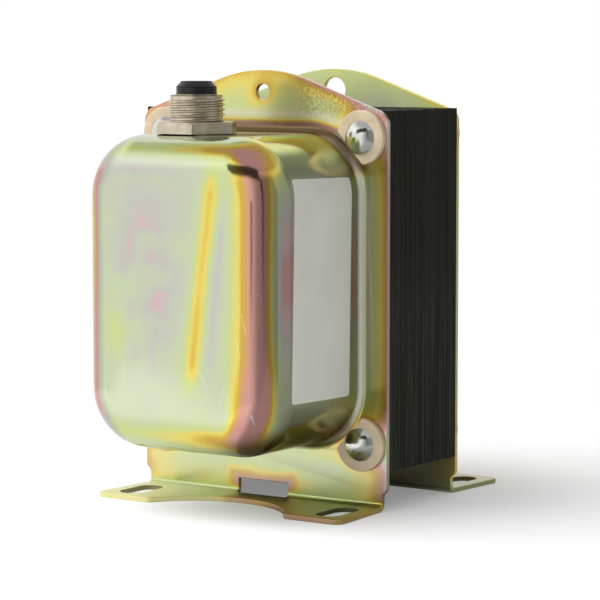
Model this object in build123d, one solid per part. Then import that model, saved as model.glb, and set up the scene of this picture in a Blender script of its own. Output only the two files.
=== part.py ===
from build123d import *

import math
import os

# Foot, panel and plate mounting control transformer with a push to reset breaker.
# Millimetres. X points forward out of the deep cover, Y to the label side, Z up.
# The origin is the middle of the four foot slots, on the plane the feet stand on.

# Lamination core: in a scrapless E-I sheet every width follows from the tongue
TONGUE = 25.4  # height of the middle leg
STACK = 27.0  # thickness of the core along X
CORE_Z = 46.6  # height of the core's middle above the feet
PACK = 1.5  # three sheets are turned over together
RIVET_EDGE_Y = 6.25  # rivet centres from the edges of the core
RIVET_EDGE_Z = 5.6
CORE_HOLE_R = 2.9

# Sheet metal covers
SHEET = 1.1
BEND_R = 0.8  # inside radius of the foot bend
NOTCH_DEPTH = 1.15  # notches beside the bend
NOTCH_LOW = 3.5
NOTCH_HIGH = 4.8
EAR_RISE = 8.3  # top of the ear above the core
EAR_R = 34.2  # arc over the ear
EAR_SLOPE = 19.3  # fall of the shoulders beside it, in degrees
SHOULDER_R = 3.0
EAR_HOLE_RISE = 3.6  # middle of the ear hole above the core
FRONT_EAR_HOLE_R = 1.75
REAR_EAR_HOLE_R = 2.8
COVER_HOLE_R = 3.4  # takes the shoulder of a washer
FOOT_DEPTH = 18.2
TOE_FLARE = 1.2  # the foot widens by this much towards the toes, each side
TOE_R = 1.8
ARC_R = 20.0  # cut between the two toes
ARC_DEPTH = 10.7
ARC_TIP_R = 1.2
SLOT_FROM_PLATE = 9.85  # plate face to slot middle
SLOT_EDGE = 6.05  # slot middle from the edge of the core
SLOT_LENGTH = 12.0
SLOT_WIDTH = 5.6
WINDOW_HALF = 6.5  # opening through the bend
WINDOW_HIGH = 4.0
WINDOW_INTO_FOOT = 1.3

# Drawn bells of the covers
FLANGE_SIDE = 6.75  # flat flange beside the bell
FLANGE_END = 4.9  # and above and below it
BELL_CORNER_R = 13.0
BELL_ROOT_R = 1.8  # where the wall leaves the flange
FRONT_BELL_DEPTH = 33.0
FRONT_NOSE_R = 8.5
REAR_BELL_DEPTH = 13.0
REAR_NOSE_R = 5.0

# Rivets and insulating washers
RIVET_R = 2.35
RIVET_HEAD_R = 3.7
RIVET_HEAD_H = 1.9
WASHER_R = 5.7
WASHER_T = 1.2
WASHER_BELL_GAP = 0.06  # from the washer's flat side to the root of the bell
WASHER_EDGE = 0.25
SHOULDER_SHORT = 0.2  # the washer's shoulder ends this far before the core
SLIP = 0.05  # radial clearance of a pin in its hole

# Coil
BOBBIN_WALL = 1.0
BOBBIN_SIDE_GAP = 0.25  # between the bobbin and the stack
BOBBIN_END_GAP = 0.2  # between the bobbin's flanges and the yokes
BOBBIN_FLANGE = 1.0
BOBBIN_FLANGE_R = 2.0
BOBBIN_LIP = 0.9  # the flanges stand this far outside the finished coil
COIL_CORNER_R = 0.6
PRIMARY_BUILD = 4.0
BARRIER_BUILD = 0.4
SECONDARY_BUILD = 3.7
WRAP_BUILD = 0.4
WEDGE_LENGTH = 30.0
WEDGE_HEIGHT = 16.0

# Push to reset breaker in the top of the front bell
BREAKER_Y = -4.5
CASE_COIL_GAP = 2.5  # between the breaker's case and the coil
NECK_R = 6.0
NECK_RISE = 8.2  # above the bell
NECK_LIP = 0.6  # flange under the bell's top
NECK_FLANGE_T = 1.2
NECK_CHAMFER = 0.4
NUT_ACROSS = 15.9
NUT_H = 2.6
NUT_FACE_R = 7.3  # round face that the nut bears with
NUT_FACE_H = 0.15
NUT_CHAMFER = 0.5
BUTTON_R = 4.25
BUTTON_RUN = 0.06  # radial running clearance in the neck
BUTTON_RISE = 2.9  # above the neck when it is set
BUTTON_CHAMFER = 1.1
BUTTON_TRAVEL = 3.5  # out, when the breaker has tripped
BUTTON_PRESS = 0.8  # in, to latch it again
COLLAR_LIP = 0.38  # the collar stands out of the button by this much
COLLAR_T = 1.0
COLLAR_STOP = 0.4  # left under the neck when the button is right out
COLLAR_GAP = 0.1  # between the collar and the case
PLUNGER_R = 1.6
PLUNGER_GAP = 0.3  # left above the blade when the button is pressed
CASE_Y = 14.0
CASE_H = 21.0
CASE_WALL = 1.1
CASE_FLOOR = 2.0
CASE_CORNER_R = 1.0
BLADE_T = 0.5
BLADE_WIDTH = 5.0
BLADE_BOW = 0.6
TERMINAL_T = 0.8
TERMINAL_WIDTH = 4.8
TERMINAL_DROP = 7.0
TERMINAL_RISE = 3.0
TERMINAL_SPREAD = 3.6
TERMINAL_EYE_R = 0.8

# Lead bushing and label
BUSHING_HOLE_R = 6.5
BUSHING_BORE_R = 5.0
BUSHING_LIP = 1.7  # flange outside the hole
BUSHING_FLANGE_T = 1.2
BUSHING_DEPTH = 2.6
BUSHING_EDGE = 0.3
BUSHING_DOWN = 19.6  # below the middle of the core
LABEL_T = 0.12
LABEL_FROM_PLATE = 3.9
LABEL_WIDTH = 21.2
LABEL_HEIGHT = 46.0
LABEL_UP = 1.5  # middle of the label above the middle of the core

# Sizes that follow
YOKE = TONGUE / 2
CORE_HEIGHT = 3 * TONGUE
CORE_WIDTH = 2.5 * TONGUE
WINDOW_LENGTH = CORE_WIDTH - 2 * YOKE
CORE_TOP = CORE_Z + CORE_HEIGHT / 2
CORE_FACE = STACK / 2
PLATE_FACE = CORE_FACE + SHEET
RIVET_Y = CORE_WIDTH / 2 - RIVET_EDGE_Y
RIVET_Z = CORE_HEIGHT / 2 - RIVET_EDGE_Z
RIVET_SPOTS = [(y, CORE_Z + z) for y in (-RIVET_Y, RIVET_Y) for z in (-RIVET_Z, RIVET_Z)]
NECK_HALF = CORE_WIDTH / 2 - NOTCH_DEPTH
FOOT_HALF = NECK_HALF + TOE_FLARE
SLOT_Y = CORE_WIDTH / 2 - SLOT_EDGE
BELL_HALF_Y = CORE_WIDTH / 2 - FLANGE_SIDE
BELL_HALF_Z = CORE_HEIGHT / 2 - FLANGE_END
BELL_TOP = CORE_Z + BELL_HALF_Z
REAR_NOSE_X = -(PLATE_FACE + REAR_BELL_DEPTH)
BUSHING_Z = CORE_Z - BUSHING_DOWN
BARRIER_IN = PRIMARY_BUILD
SECONDARY_IN = BARRIER_IN + BARRIER_BUILD
WRAP_IN = SECONDARY_IN + SECONDARY_BUILD
BOBBIN_RISE = WRAP_IN + WRAP_BUILD + BOBBIN_LIP
COIL_FACE = CORE_FACE + BOBBIN_SIDE_GAP + BOBBIN_WALL + BOBBIN_RISE
WINDING_HALF = WINDOW_LENGTH / 2 - BOBBIN_END_GAP - BOBBIN_FLANGE
COLLAR_R = BUTTON_R + COLLAR_LIP
CASE_X = 2 * (COLLAR_R + COLLAR_GAP + CASE_WALL)
BREAKER_X = COIL_FACE + CASE_COIL_GAP + CASE_X / 2
NECK_FOOT = BELL_TOP - SHEET - NECK_FLANGE_T
COLLAR_TOP = NECK_FOOT - BUTTON_TRAVEL - COLLAR_STOP
CASE_BOTTOM = NECK_FOOT - CASE_H
BLADE_Z = CASE_BOTTOM + CASE_FLOOR + TERMINAL_RISE
PLUNGER_END = BLADE_Z + BLADE_BOW + BLADE_T + BUTTON_PRESS + PLUNGER_GAP


def rod_x(radius, x0, x1, y, z):
    """Round bar along X."""
    return Pos((x0 + x1) / 2, y, z) * Rot(0, 90, 0) * Cylinder(radius, abs(x1 - x0))


def rod_z(radius, z0, z1, x, y):
    """Round bar along Z."""
    return Pos(x, y, (z0 + z1) / 2) * Cylinder(radius, abs(z1 - z0))


def block(x0, x1, y0, y1, z0, z1):
    """Box between two corners."""
    return Pos((x0 + x1) / 2, (y0 + y1) / 2, (z0 + z1) / 2) * Box(x1 - x0, y1 - y0, z1 - z0)


def rounded_bar(half_y, half_z, corner, x0, x1):
    """Bar along X with a rounded rectangular section about the core's middle."""
    section = Plane((x0, 0, CORE_Z), x_dir=(0, 1, 0), z_dir=(1, 0, 0))
    return extrude(section * RectangleRounded(2 * half_y, 2 * half_z, corner), x1 - x0)


def edges_at_x(solid, x, half_y, half_z):
    """Edges lying in the plane X = x, within a rectangle about the core's middle."""
    found = ShapeList()
    for edge in solid.edges():
        box = edge.bounding_box()
        flat = abs(box.min.X - x) < 1e-4 and abs(box.max.X - x) < 1e-4
        inside_y = max(abs(box.min.Y), abs(box.max.Y)) < half_y + 0.01
        inside_z = max(abs(box.min.Z - CORE_Z), abs(box.max.Z - CORE_Z)) < half_z + 0.01
        if flat and inside_y and inside_z:
            found.append(edge)
    return found


def drawn(half_y, half_z, corner, x0, x1, nose):
    """Rounded bar whose far end has its edge rounded over."""
    bar = rounded_bar(half_y, half_z, corner, x0, x1)
    return fillet(edges_at_x(bar, x1, half_y, half_z), nose)


def plate():
    """Upright sheet with the mounting ear, on the front face of the core."""
    slope = math.radians(EAR_SLOPE)
    ear_top = CORE_TOP + EAR_RISE
    ear_z = ear_top - EAR_R
    meet = (EAR_R * math.sin(slope), ear_z + EAR_R * math.cos(slope))
    half = CORE_WIDTH / 2
    shoulder = (half, meet[1] - (half - meet[0]) * math.tan(slope))
    right = [(NECK_HALF, 0), (NECK_HALF, NOTCH_LOW), (half, NOTCH_HIGH), shoulder, meet]
    left = [(-y, z) for y, z in reversed(right)]
    rim = Polyline(*right) + ThreePointArc(meet, (0, ear_top), left[0]) + Polyline(*left)
    rim = rim + Line(left[-1], right[0])
    face = Plane((CORE_FACE, 0, 0), x_dir=(0, 1, 0), z_dir=(1, 0, 0)) * make_face(rim)
    sheet = extrude(face, SHEET)
    corners = [e for e in sheet.edges().filter_by(Axis.X) if abs(e.center().Z - shoulder[1]) < 0.01]
    return fillet(corners, SHOULDER_R)


def foot():
    """Level sheet in front of the plate, with two toes and an arc cut between them."""
    toe_x = PLATE_FACE + FOOT_DEPTH
    half = [(CORE_FACE, NECK_HALF), (PLATE_FACE + BEND_R, NECK_HALF), (toe_x, FOOT_HALF)]
    rim = half + [(x, -y) for x, y in reversed(half)]
    sheet = extrude(make_face(Polyline(*rim, close=True)), SHEET)
    arc_x = toe_x - ARC_DEPTH + ARC_R
    sheet -= rod_z(ARC_R, -1, SHEET + 1, arc_x, 0)
    upright = sheet.edges().filter_by(Axis.Z)
    toes = [e for e in upright if abs(abs(e.center().Y) - FOOT_HALF) < 0.01]
    sheet = fillet(toes, TOE_R)
    upright = sheet.edges().filter_by(Axis.Z)
    tips = [e for e in upright if abs(e.center().X - toe_x) < 0.01 and abs(e.center().Y) < SLOT_Y]
    return fillet(tips, ARC_TIP_R)


def cover(bell_depth, nose, ear_hole):
    """One drawn cover, facing forward: plate, foot and bell in a single sheet."""
    sheet = plate() + foot()
    lines = sheet.edges().filter_by(Axis.Y)
    crease = [e for e in lines if abs(e.center().X - PLATE_FACE) < 0.01 and abs(e.center().Z - SHEET) < 0.01]
    sheet = fillet(crease, BEND_R)
    lines = sheet.edges().filter_by(Axis.Y)
    heel = [e for e in lines if abs(e.center().X - CORE_FACE) < 0.01 and abs(e.center().Z) < 0.01]
    sheet = fillet(heel, BEND_R + SHEET)

    outside = drawn(BELL_HALF_Y, BELL_HALF_Z, BELL_CORNER_R, CORE_FACE, PLATE_FACE + bell_depth, nose)
    sheet = sheet + outside
    sheet = fillet(edges_at_x(sheet, PLATE_FACE, BELL_HALF_Y, BELL_HALF_Z), BELL_ROOT_R)
    in_y = BELL_HALF_Y - SHEET
    in_z = BELL_HALF_Z - SHEET
    hollow = drawn(in_y, in_z, BELL_CORNER_R - SHEET, CORE_FACE, CORE_FACE + bell_depth, nose - SHEET)
    sheet = sheet - hollow
    sheet = fillet(edges_at_x(sheet, CORE_FACE, in_y, in_z), BELL_ROOT_R + SHEET)

    for y, z in RIVET_SPOTS:
        sheet -= rod_x(COVER_HOLE_R, CORE_FACE - 1, PLATE_FACE + 1, y, z)
    sheet -= rod_x(ear_hole, CORE_FACE - 1, PLATE_FACE + 1, 0, CORE_TOP + EAR_HOLE_RISE)
    window_x = PLATE_FACE + WINDOW_INTO_FOOT
    sheet -= block(CORE_FACE - 1, window_x, -WINDOW_HALF, WINDOW_HALF, -1, WINDOW_HIGH)
    slot = extrude(SlotOverall(SLOT_LENGTH, SLOT_WIDTH), 2 * SHEET)
    for y in (-SLOT_Y, SLOT_Y):
        sheet -= Pos(PLATE_FACE + SLOT_FROM_PLATE, y, -SHEET / 2) * slot
    return sheet


def e_sheet():
    """E lamination with its back on the -Y side."""
    face = Pos(-YOKE / 2, CORE_Z) * Rectangle(CORE_WIDTH - YOKE, CORE_HEIGHT)
    gap = CORE_HEIGHT / 2 - YOKE - TONGUE / 2
    for side in (-1, 1):
        face -= Pos(0, CORE_Z + side * (TONGUE + gap) / 2) * Rectangle(WINDOW_LENGTH, gap)
    return face - core_holes(-1)


def i_sheet():
    """Closing bar on the +Y side."""
    face = Pos(CORE_WIDTH / 2 - YOKE / 2, CORE_Z) * Rectangle(YOKE, CORE_HEIGHT)
    return face - core_holes(1)


def core_holes(side):
    """Rivet holes on one side of the core, in the (Y, Z) plane."""
    return [Pos(side * RIVET_Y, CORE_Z + s * RIVET_Z) * Circle(CORE_HOLE_R) for s in (-1, 1)]


def packs(face):
    """Packs of one lamination shape through the stack, every second one turned over."""
    count = round(STACK / PACK)
    result = []
    for k in range(count):
        turned = face if k % 2 == 0 else mirror(face, about=Plane.YZ)
        level = Plane((-CORE_FACE + k * PACK, 0, 0), x_dir=(0, 1, 0), z_dir=(1, 0, 0))
        result.append(extrude(level * turned, PACK))
    return result


def coil_layer(inset, build, half_length):
    """Closed layer wound around the bobbin, from an inset outside its wall."""
    base_x = CORE_FACE + BOBBIN_SIDE_GAP + BOBBIN_WALL + inset
    base_z = TONGUE / 2 + BOBBIN_WALL + inset
    level = Plane((0, -half_length, CORE_Z), x_dir=(1, 0, 0), z_dir=(0, 1, 0))
    inner_r = COIL_CORNER_R + inset
    ring = RectangleRounded(2 * (base_x + build), 2 * (base_z + build), inner_r + build)
    ring -= RectangleRounded(2 * base_x, 2 * base_z, inner_r)
    return extrude(level * ring, 2 * half_length)


def bobbin():
    """Tube on the middle leg with a flange at each end."""
    hole_x = CORE_FACE + BOBBIN_SIDE_GAP
    hole_z = TONGUE / 2
    half = WINDOW_LENGTH / 2 - BOBBIN_END_GAP
    level = Plane((0, -half, CORE_Z), x_dir=(1, 0, 0), z_dir=(0, 1, 0))
    tube = RectangleRounded(2 * (hole_x + BOBBIN_WALL), 2 * (hole_z + BOBBIN_WALL), COIL_CORNER_R)
    body = extrude(level * tube, 2 * half)
    flange_z = CORE_HEIGHT / 2 - YOKE - BOBBIN_END_GAP
    flange = RectangleRounded(2 * COIL_FACE, 2 * flange_z, BOBBIN_FLANGE_R)
    for y in (-half, half - BOBBIN_FLANGE):
        place = Plane((0, y, CORE_Z), x_dir=(1, 0, 0), z_dir=(0, 1, 0))
        body += extrude(place * flange, BOBBIN_FLANGE)
    passage = block(-hole_x, hole_x, -half - 1, half + 1, CORE_Z - hole_z, CORE_Z + hole_z)
    return body - passage


def rivet(y, z):
    """Rivet through the whole stack, with a domed head at each end."""
    seat = PLATE_FACE + WASHER_T
    tip = seat + RIVET_HEAD_H
    ball = (RIVET_HEAD_R ** 2 + RIVET_HEAD_H ** 2) / (2 * RIVET_HEAD_H)
    half_way = math.asin(RIVET_HEAD_R / ball) / 2
    crown = (tip - ball + ball * math.cos(half_way), ball * math.sin(half_way))
    rim = Polyline((-seat, RIVET_HEAD_R), (-seat, RIVET_R), (seat, RIVET_R), (seat, RIVET_HEAD_R))
    rim = rim + ThreePointArc((seat, RIVET_HEAD_R), crown, (tip, 0)) + Line((tip, 0), (-tip, 0))
    rim = rim + ThreePointArc((-tip, 0), (-crown[0], crown[1]), (-seat, RIVET_HEAD_R))
    return Pos(0, y, z) * revolve(make_face(rim), Axis.X)


def washer(side, y, z):
    """Shouldered washer on one cover, its flat side turned to the bell's corner."""
    x0 = side * PLATE_FACE
    flange = rod_x(WASHER_R, x0, x0 + side * WASHER_T, y, z)
    rim = [e for e in flange.edges() if abs(e.center().X - x0 - side * WASHER_T) < 0.01]
    flange = chamfer(rim, WASHER_EDGE)
    to_y = math.copysign(BELL_HALF_Y - BELL_CORNER_R, y) - y
    to_z = math.copysign(BELL_HALF_Z - BELL_CORNER_R, z - CORE_Z) - (z - CORE_Z)
    flat = math.hypot(to_y, to_z) - BELL_CORNER_R - BELL_ROOT_R - WASHER_BELL_GAP
    inward = math.degrees(math.atan2(to_z, to_y))
    cut = Pos(flat + WASHER_R, 0, 0) * Box(2 * WASHER_R, 4 * WASHER_R, 4 * WASHER_R)
    turn = Plane((x0, y, z), x_dir=(0, 1, 0), z_dir=(1, 0, 0)) * Rot(0, 0, inward)
    flange -= turn * cut
    flange += rod_x(COVER_HOLE_R - SLIP, side * (CORE_FACE + SHOULDER_SHORT), x0, y, z)
    return flange - rod_x(RIVET_R + SLIP, side * CORE_FACE, side * (PLATE_FACE + 2 * WASHER_T), y, z)


def breaker_neck():
    """Threaded neck, shown at its outside diameter, with its flange under the bell's top."""
    inner = BELL_TOP - SHEET
    top = BELL_TOP + NECK_RISE
    solid = rod_z(NECK_R, inner, top, BREAKER_X, BREAKER_Y)
    rim = [e for e in solid.edges() if abs(e.center().Z - top) < 0.01]
    solid = chamfer(rim, NECK_CHAMFER)
    solid += rod_z(NECK_R + NECK_LIP, inner - NECK_FLANGE_T, inner, BREAKER_X, BREAKER_Y)
    return solid - rod_z(BUTTON_R + BUTTON_RUN, inner - 2 * NECK_FLANGE_T, top + 1, BREAKER_X, BREAKER_Y)


def breaker_nut():
    """Hexagon nut on the bell, two of its flats square to X, standing on a round face."""
    corner = NUT_ACROSS / math.sqrt(3)
    height = NUT_H - NUT_FACE_H
    place = Pos(BREAKER_X, BREAKER_Y, BELL_TOP + NUT_FACE_H)
    hexagon = extrude(place * RegularPolygon(corner, 6, rotation=30), height)
    turned = place * Pos(0, 0, height / 2) * Cylinder(corner, height)
    top = turned.edges().filter_by(GeomType.CIRCLE).sort_by(Axis.Z)[-1]
    nut = hexagon & chamfer(top, NUT_CHAMFER)
    nut += rod_z(NUT_FACE_R, BELL_TOP, BELL_TOP + NUT_FACE_H, BREAKER_X, BREAKER_Y)
    return nut - rod_z(NECK_R + SLIP, BELL_TOP - 1, BELL_TOP + NUT_H + 1, BREAKER_X, BREAKER_Y)


def reset_button():
    """Button, its retaining collar and the plunger below."""
    top = BELL_TOP + NECK_RISE + BUTTON_RISE
    solid = rod_z(BUTTON_R, COLLAR_TOP - COLLAR_T, top, BREAKER_X, BREAKER_Y)
    rim = [e for e in solid.edges() if abs(e.center().Z - top) < 0.01]
    solid = chamfer(rim, BUTTON_CHAMFER)
    solid += rod_z(COLLAR_R, COLLAR_TOP - COLLAR_T, COLLAR_TOP, BREAKER_X, BREAKER_Y)
    return solid + rod_z(PLUNGER_R, PLUNGER_END, COLLAR_TOP, BREAKER_X, BREAKER_Y)


def about_breaker(half_x, half_y, z0, z1):
    """Box centred on the breaker's axis."""
    x, y = BREAKER_X, BREAKER_Y
    return block(x - half_x, x + half_x, y - half_y, y + half_y, z0, z1)


def breaker_case():
    """Moulded case hanging from the neck, with slots for the terminals in its floor."""
    case = about_breaker(CASE_X / 2, CASE_Y / 2, CASE_BOTTOM, NECK_FOOT)
    case = fillet(case.edges().filter_by(Axis.Z), CASE_CORNER_R)
    floor = CASE_BOTTOM + CASE_FLOOR
    case -= about_breaker(CASE_X / 2 - CASE_WALL, CASE_Y / 2 - CASE_WALL, floor, NECK_FOOT + 1)
    for side in (-1, 1):
        case -= terminal_blank(side, CASE_BOTTOM - 1, floor + 1)
    return case


def terminal_blank(side, z0, z1):
    """Upright strip in a terminal's place."""
    y = BREAKER_Y + side * TERMINAL_SPREAD
    half = TERMINAL_WIDTH / 2
    return block(BREAKER_X - half, BREAKER_X + half, y - TERMINAL_T / 2, y + TERMINAL_T / 2, z0, z1)


def terminal(side):
    """Flat terminal through the floor of the case."""
    strip = terminal_blank(side, CASE_BOTTOM - TERMINAL_DROP, BLADE_Z)
    hole_z = CASE_BOTTOM - TERMINAL_DROP + TERMINAL_WIDTH / 2
    y = BREAKER_Y + side * TERMINAL_SPREAD
    eye = Pos(BREAKER_X, y, hole_z) * Rot(90, 0, 0) * Cylinder(TERMINAL_EYE_R, 2 * TERMINAL_T)
    return strip - eye


def breaker_blade():
    """Bimetal strip lying on the two terminals, bowed up in the middle."""
    reach = TERMINAL_SPREAD + TERMINAL_T / 2
    low = ThreePointArc((-reach, 0), (0, BLADE_BOW), (reach, 0))
    high = ThreePointArc((reach, BLADE_T), (0, BLADE_BOW + BLADE_T), (-reach, BLADE_T))
    rim = low + Line((reach, 0), (reach, BLADE_T)) + high + Line((-reach, BLADE_T), (-reach, 0))
    level = Plane((BREAKER_X - BLADE_WIDTH / 2, BREAKER_Y, BLADE_Z), x_dir=(0, 1, 0), z_dir=(1, 0, 0))
    return extrude(level * make_face(rim), BLADE_WIDTH)


def lead_bushing():
    """Flanged bushing in the rear bell, where the leads come out."""
    x0 = REAR_NOSE_X
    ring = rod_x(BUSHING_HOLE_R + BUSHING_LIP, x0 - BUSHING_FLANGE_T, x0, 0, BUSHING_Z)
    rim = [e for e in ring.edges() if abs(e.center().X - x0 + BUSHING_FLANGE_T) < 0.01]
    ring = chamfer(rim, BUSHING_EDGE)
    ring += rod_x(BUSHING_HOLE_R - SLIP, x0, x0 + BUSHING_DEPTH, 0, BUSHING_Z)
    return ring - rod_x(BUSHING_BORE_R, x0 - 2 * BUSHING_FLANGE_T, x0 + 2 * BUSHING_DEPTH, 0, BUSHING_Z)


def label():
    """Bare label lying on the side wall of the front bell."""
    x0 = PLATE_FACE + LABEL_FROM_PLATE
    z0 = CORE_Z + LABEL_UP - LABEL_HEIGHT / 2
    skins = []
    for grown in (LABEL_T, 0):
        half_y = BELL_HALF_Y + grown
        half_z = BELL_HALF_Z + grown
        far = PLATE_FACE + FRONT_BELL_DEPTH + grown
        skins.append(drawn(half_y, half_z, BELL_CORNER_R + grown, PLATE_FACE, far, FRONT_NOSE_R + grown))
    patch = block(x0, x0 + LABEL_WIDTH, BELL_HALF_Y / 2, 2 * BELL_HALF_Y, z0, z0 + LABEL_HEIGHT)
    return (skins[0] - skins[1]) & patch


def wedge():
    """Fibre wedge that holds the bobbin tight on the stack, on the rear face."""
    x1 = -CORE_FACE
    half_z = WEDGE_HEIGHT / 2
    half_y = WEDGE_LENGTH / 2
    return block(x1 - BOBBIN_SIDE_GAP, x1, -half_y, half_y, CORE_Z - half_z, CORE_Z + half_z)


def front_cover():
    """Deep cover with the hole for the breaker's neck."""
    sheet = cover(FRONT_BELL_DEPTH, FRONT_NOSE_R, FRONT_EAR_HOLE_R)
    return sheet - rod_z(NECK_R + SLIP, BELL_TOP - 4 * SHEET, BELL_TOP + 1, BREAKER_X, BREAKER_Y)


def rear_cover():
    """Shallow cover with the hole for the lead bushing."""
    sheet = Rot(0, 0, 180) * cover(REAR_BELL_DEPTH, REAR_NOSE_R, REAR_EAR_HOLE_R)
    return sheet - rod_x(BUSHING_HOLE_R, REAR_NOSE_X - 1, REAR_NOSE_X + 4 * SHEET, 0, BUSHING_Z)


PIECES = {
    "front_cover": [front_cover()],
    "rear_cover": [rear_cover()],
    "e_laminations": packs(e_sheet()),
    "i_laminations": packs(i_sheet()),
    "bobbin": [bobbin()],
    "primary_winding": [coil_layer(0, PRIMARY_BUILD, WINDING_HALF)],
    "winding_barrier": [coil_layer(BARRIER_IN, BARRIER_BUILD, WINDING_HALF)],
    "secondary_winding": [coil_layer(SECONDARY_IN, SECONDARY_BUILD, WINDING_HALF)],
    "coil_wrap": [coil_layer(WRAP_IN, WRAP_BUILD, WINDING_HALF)],
    "core_wedge": [wedge()],
    "core_rivets": [rivet(y, z) for y, z in RIVET_SPOTS],
    "insulating_washers": [washer(s, y, z) for s in (-1, 1) for y, z in RIVET_SPOTS],
    "breaker_neck": [breaker_neck()],
    "breaker_nut": [breaker_nut()],
    "reset_button": [reset_button()],
    "breaker_case": [breaker_case()],
    "breaker_terminals": [terminal(side) for side in (-1, 1)],
    "breaker_blade": [breaker_blade()],
    "lead_bushing": [lead_bushing()],
    "label": [label()],
}

os.makedirs("parts", exist_ok=True)
for name, members in PIECES.items():
    solids = [solid for member in members for solid in member.solids()]
    shape = solids[0] if len(solids) == 1 else Compound(solids)
    export_step(shape, f"parts/{name}.step")
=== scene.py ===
import math

import bmesh
import bpy
from bpy.props import FloatProperty, FloatVectorProperty, IntProperty, PointerProperty
from bpy.types import Operator, Panel, PropertyGroup
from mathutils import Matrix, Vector
from mathutils.bvhtree import BVHTree
from mathutils.geometry import barycentric_transform


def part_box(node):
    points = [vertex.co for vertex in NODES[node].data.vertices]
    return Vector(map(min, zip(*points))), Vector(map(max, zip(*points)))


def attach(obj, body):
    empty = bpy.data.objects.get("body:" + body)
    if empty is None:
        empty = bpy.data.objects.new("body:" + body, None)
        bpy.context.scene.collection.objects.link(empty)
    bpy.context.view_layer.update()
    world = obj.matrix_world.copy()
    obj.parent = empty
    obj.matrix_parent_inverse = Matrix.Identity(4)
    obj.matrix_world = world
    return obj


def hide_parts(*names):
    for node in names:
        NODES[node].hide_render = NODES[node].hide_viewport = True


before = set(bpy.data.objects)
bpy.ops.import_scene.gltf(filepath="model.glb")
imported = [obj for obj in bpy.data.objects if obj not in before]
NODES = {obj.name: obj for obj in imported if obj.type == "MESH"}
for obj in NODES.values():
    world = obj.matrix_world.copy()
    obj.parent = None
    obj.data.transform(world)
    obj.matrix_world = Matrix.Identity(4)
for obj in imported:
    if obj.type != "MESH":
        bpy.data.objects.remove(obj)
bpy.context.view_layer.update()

bl_info = {
    "name": "Panel mount transformer",
    "version": (1, 0, 0),
    "blender": (4, 5, 0),
    "location": "3D View > Sidebar > Transformer",
    "description": "Dresses the packed transformer with plated covers, laminations, breaker and label",
    "category": "Object",
}

MM = 0.001
CORE_LOW, CORE_HIGH = (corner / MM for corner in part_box("e_laminations"))
COVER_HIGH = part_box("front_cover")[1] / MM
NECK_LOW, NECK_HIGH = (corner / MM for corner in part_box("breaker_neck"))
NUT_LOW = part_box("breaker_nut")[0] / MM
LABEL_LOW, LABEL_HIGH = (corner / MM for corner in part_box("label"))
BUSHING_LOW, BUSHING_HIGH = (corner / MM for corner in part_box("lead_bushing"))

# Core, covers and breaker, in millimetres: the frame's boxes and the sizes that the part is built with
CORE_HEIGHT = CORE_HIGH.z - CORE_LOW.z
CORE_WIDTH = CORE_HIGH.y - CORE_LOW.y
CORE_Z = (CORE_HIGH.z + CORE_LOW.z) / 2
CORE_FACE = CORE_HIGH.x
TONGUE = CORE_HEIGHT / 3
YOKE = TONGUE / 2
SHEET = 1.1
PLATE_FACE = CORE_FACE + SHEET
TOE_X = 32.8
EAR_R = 34.2
EAR_SLOPE = math.radians(19.3)
EAR_HOLE_Z = CORE_HIGH.z + 3.6
FRONT_EAR_HOLE_R = 1.75
REAR_EAR_HOLE_R = 2.8
WINDOW_HALF = 6.5
WINDOW_HIGH = 4.0
WINDOW_OUT = PLATE_FACE + 1.3
FOOT_HIGH = 1.6
SLOT_X = PLATE_FACE + 9.85
SLOT_Y = CORE_WIDTH / 2 - 6.05
SLOT_RUN = 3.2
SLOT_R = 2.8
ARC_R = 20.0
ARC_X = TOE_X - 10.7 + ARC_R
BELL_HALF_Y = 25.0
BELL_HALF_Z = 33.2
BELL_CORNER_R = 13.0
BELL_NOSE_R = 8.5
RIVET_Y = CORE_WIDTH / 2 - 6.25
RIVET_Z = CORE_HEIGHT / 2 - 5.6
RIVET_HOLE_R = 2.9
WASHER_R = 5.7
SHOULDER_SHORT = 0.2
SLIP = 0.05
BREAKER_AXIS = Vector(((NECK_LOW.x + NECK_HIGH.x) / 2, (NECK_LOW.y + NECK_HIGH.y) / 2, 0))
NECK_LIP = 0.6
BUTTON_TRAVEL = 3.5
COLLAR_STOP = 0.4
COLLAR_T = 1.0
BUSHING_BORE_R = 5.0
BUSHING_SLEEVE_R = 6.45
BUSHING_FLANGE_T = 1.2
BUSHING_RIM = (0.3, 0.6)
BUSHING_MOUTH = (0.5, 0.7)

# Steps of round and bent shapes
TURNED_STEPS = 72
RIVET_STEPS = 48
DOME_STEPS = 16
HOLE_STEPS = 12
WASHER_STEPS = 64
CHORD_STEPS = 8
RIM_STEPS = 4
EDGE_STEPS = 2
BEND_STEPS = 4
THREAD_POINTS = 420
LABEL_STEPS = (24, 48)

# Limits that tell a sharp edge, a flat joint, a face's own side, a smooth profile, a point on the axis in
# millimetres and points that are one in metres, and the share of a side that a rounding may take up
SHARP_EDGE = math.radians(35)
SAME_PLANE = math.radians(0.05)
SAME_WAY = 0.9
GENTLE_TURN = math.radians(20)
ON_AXIS = 1e-6
WELD = 1e-6
FINE_WELD = 1e-7
BEND_SHARE = 0.45

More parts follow.
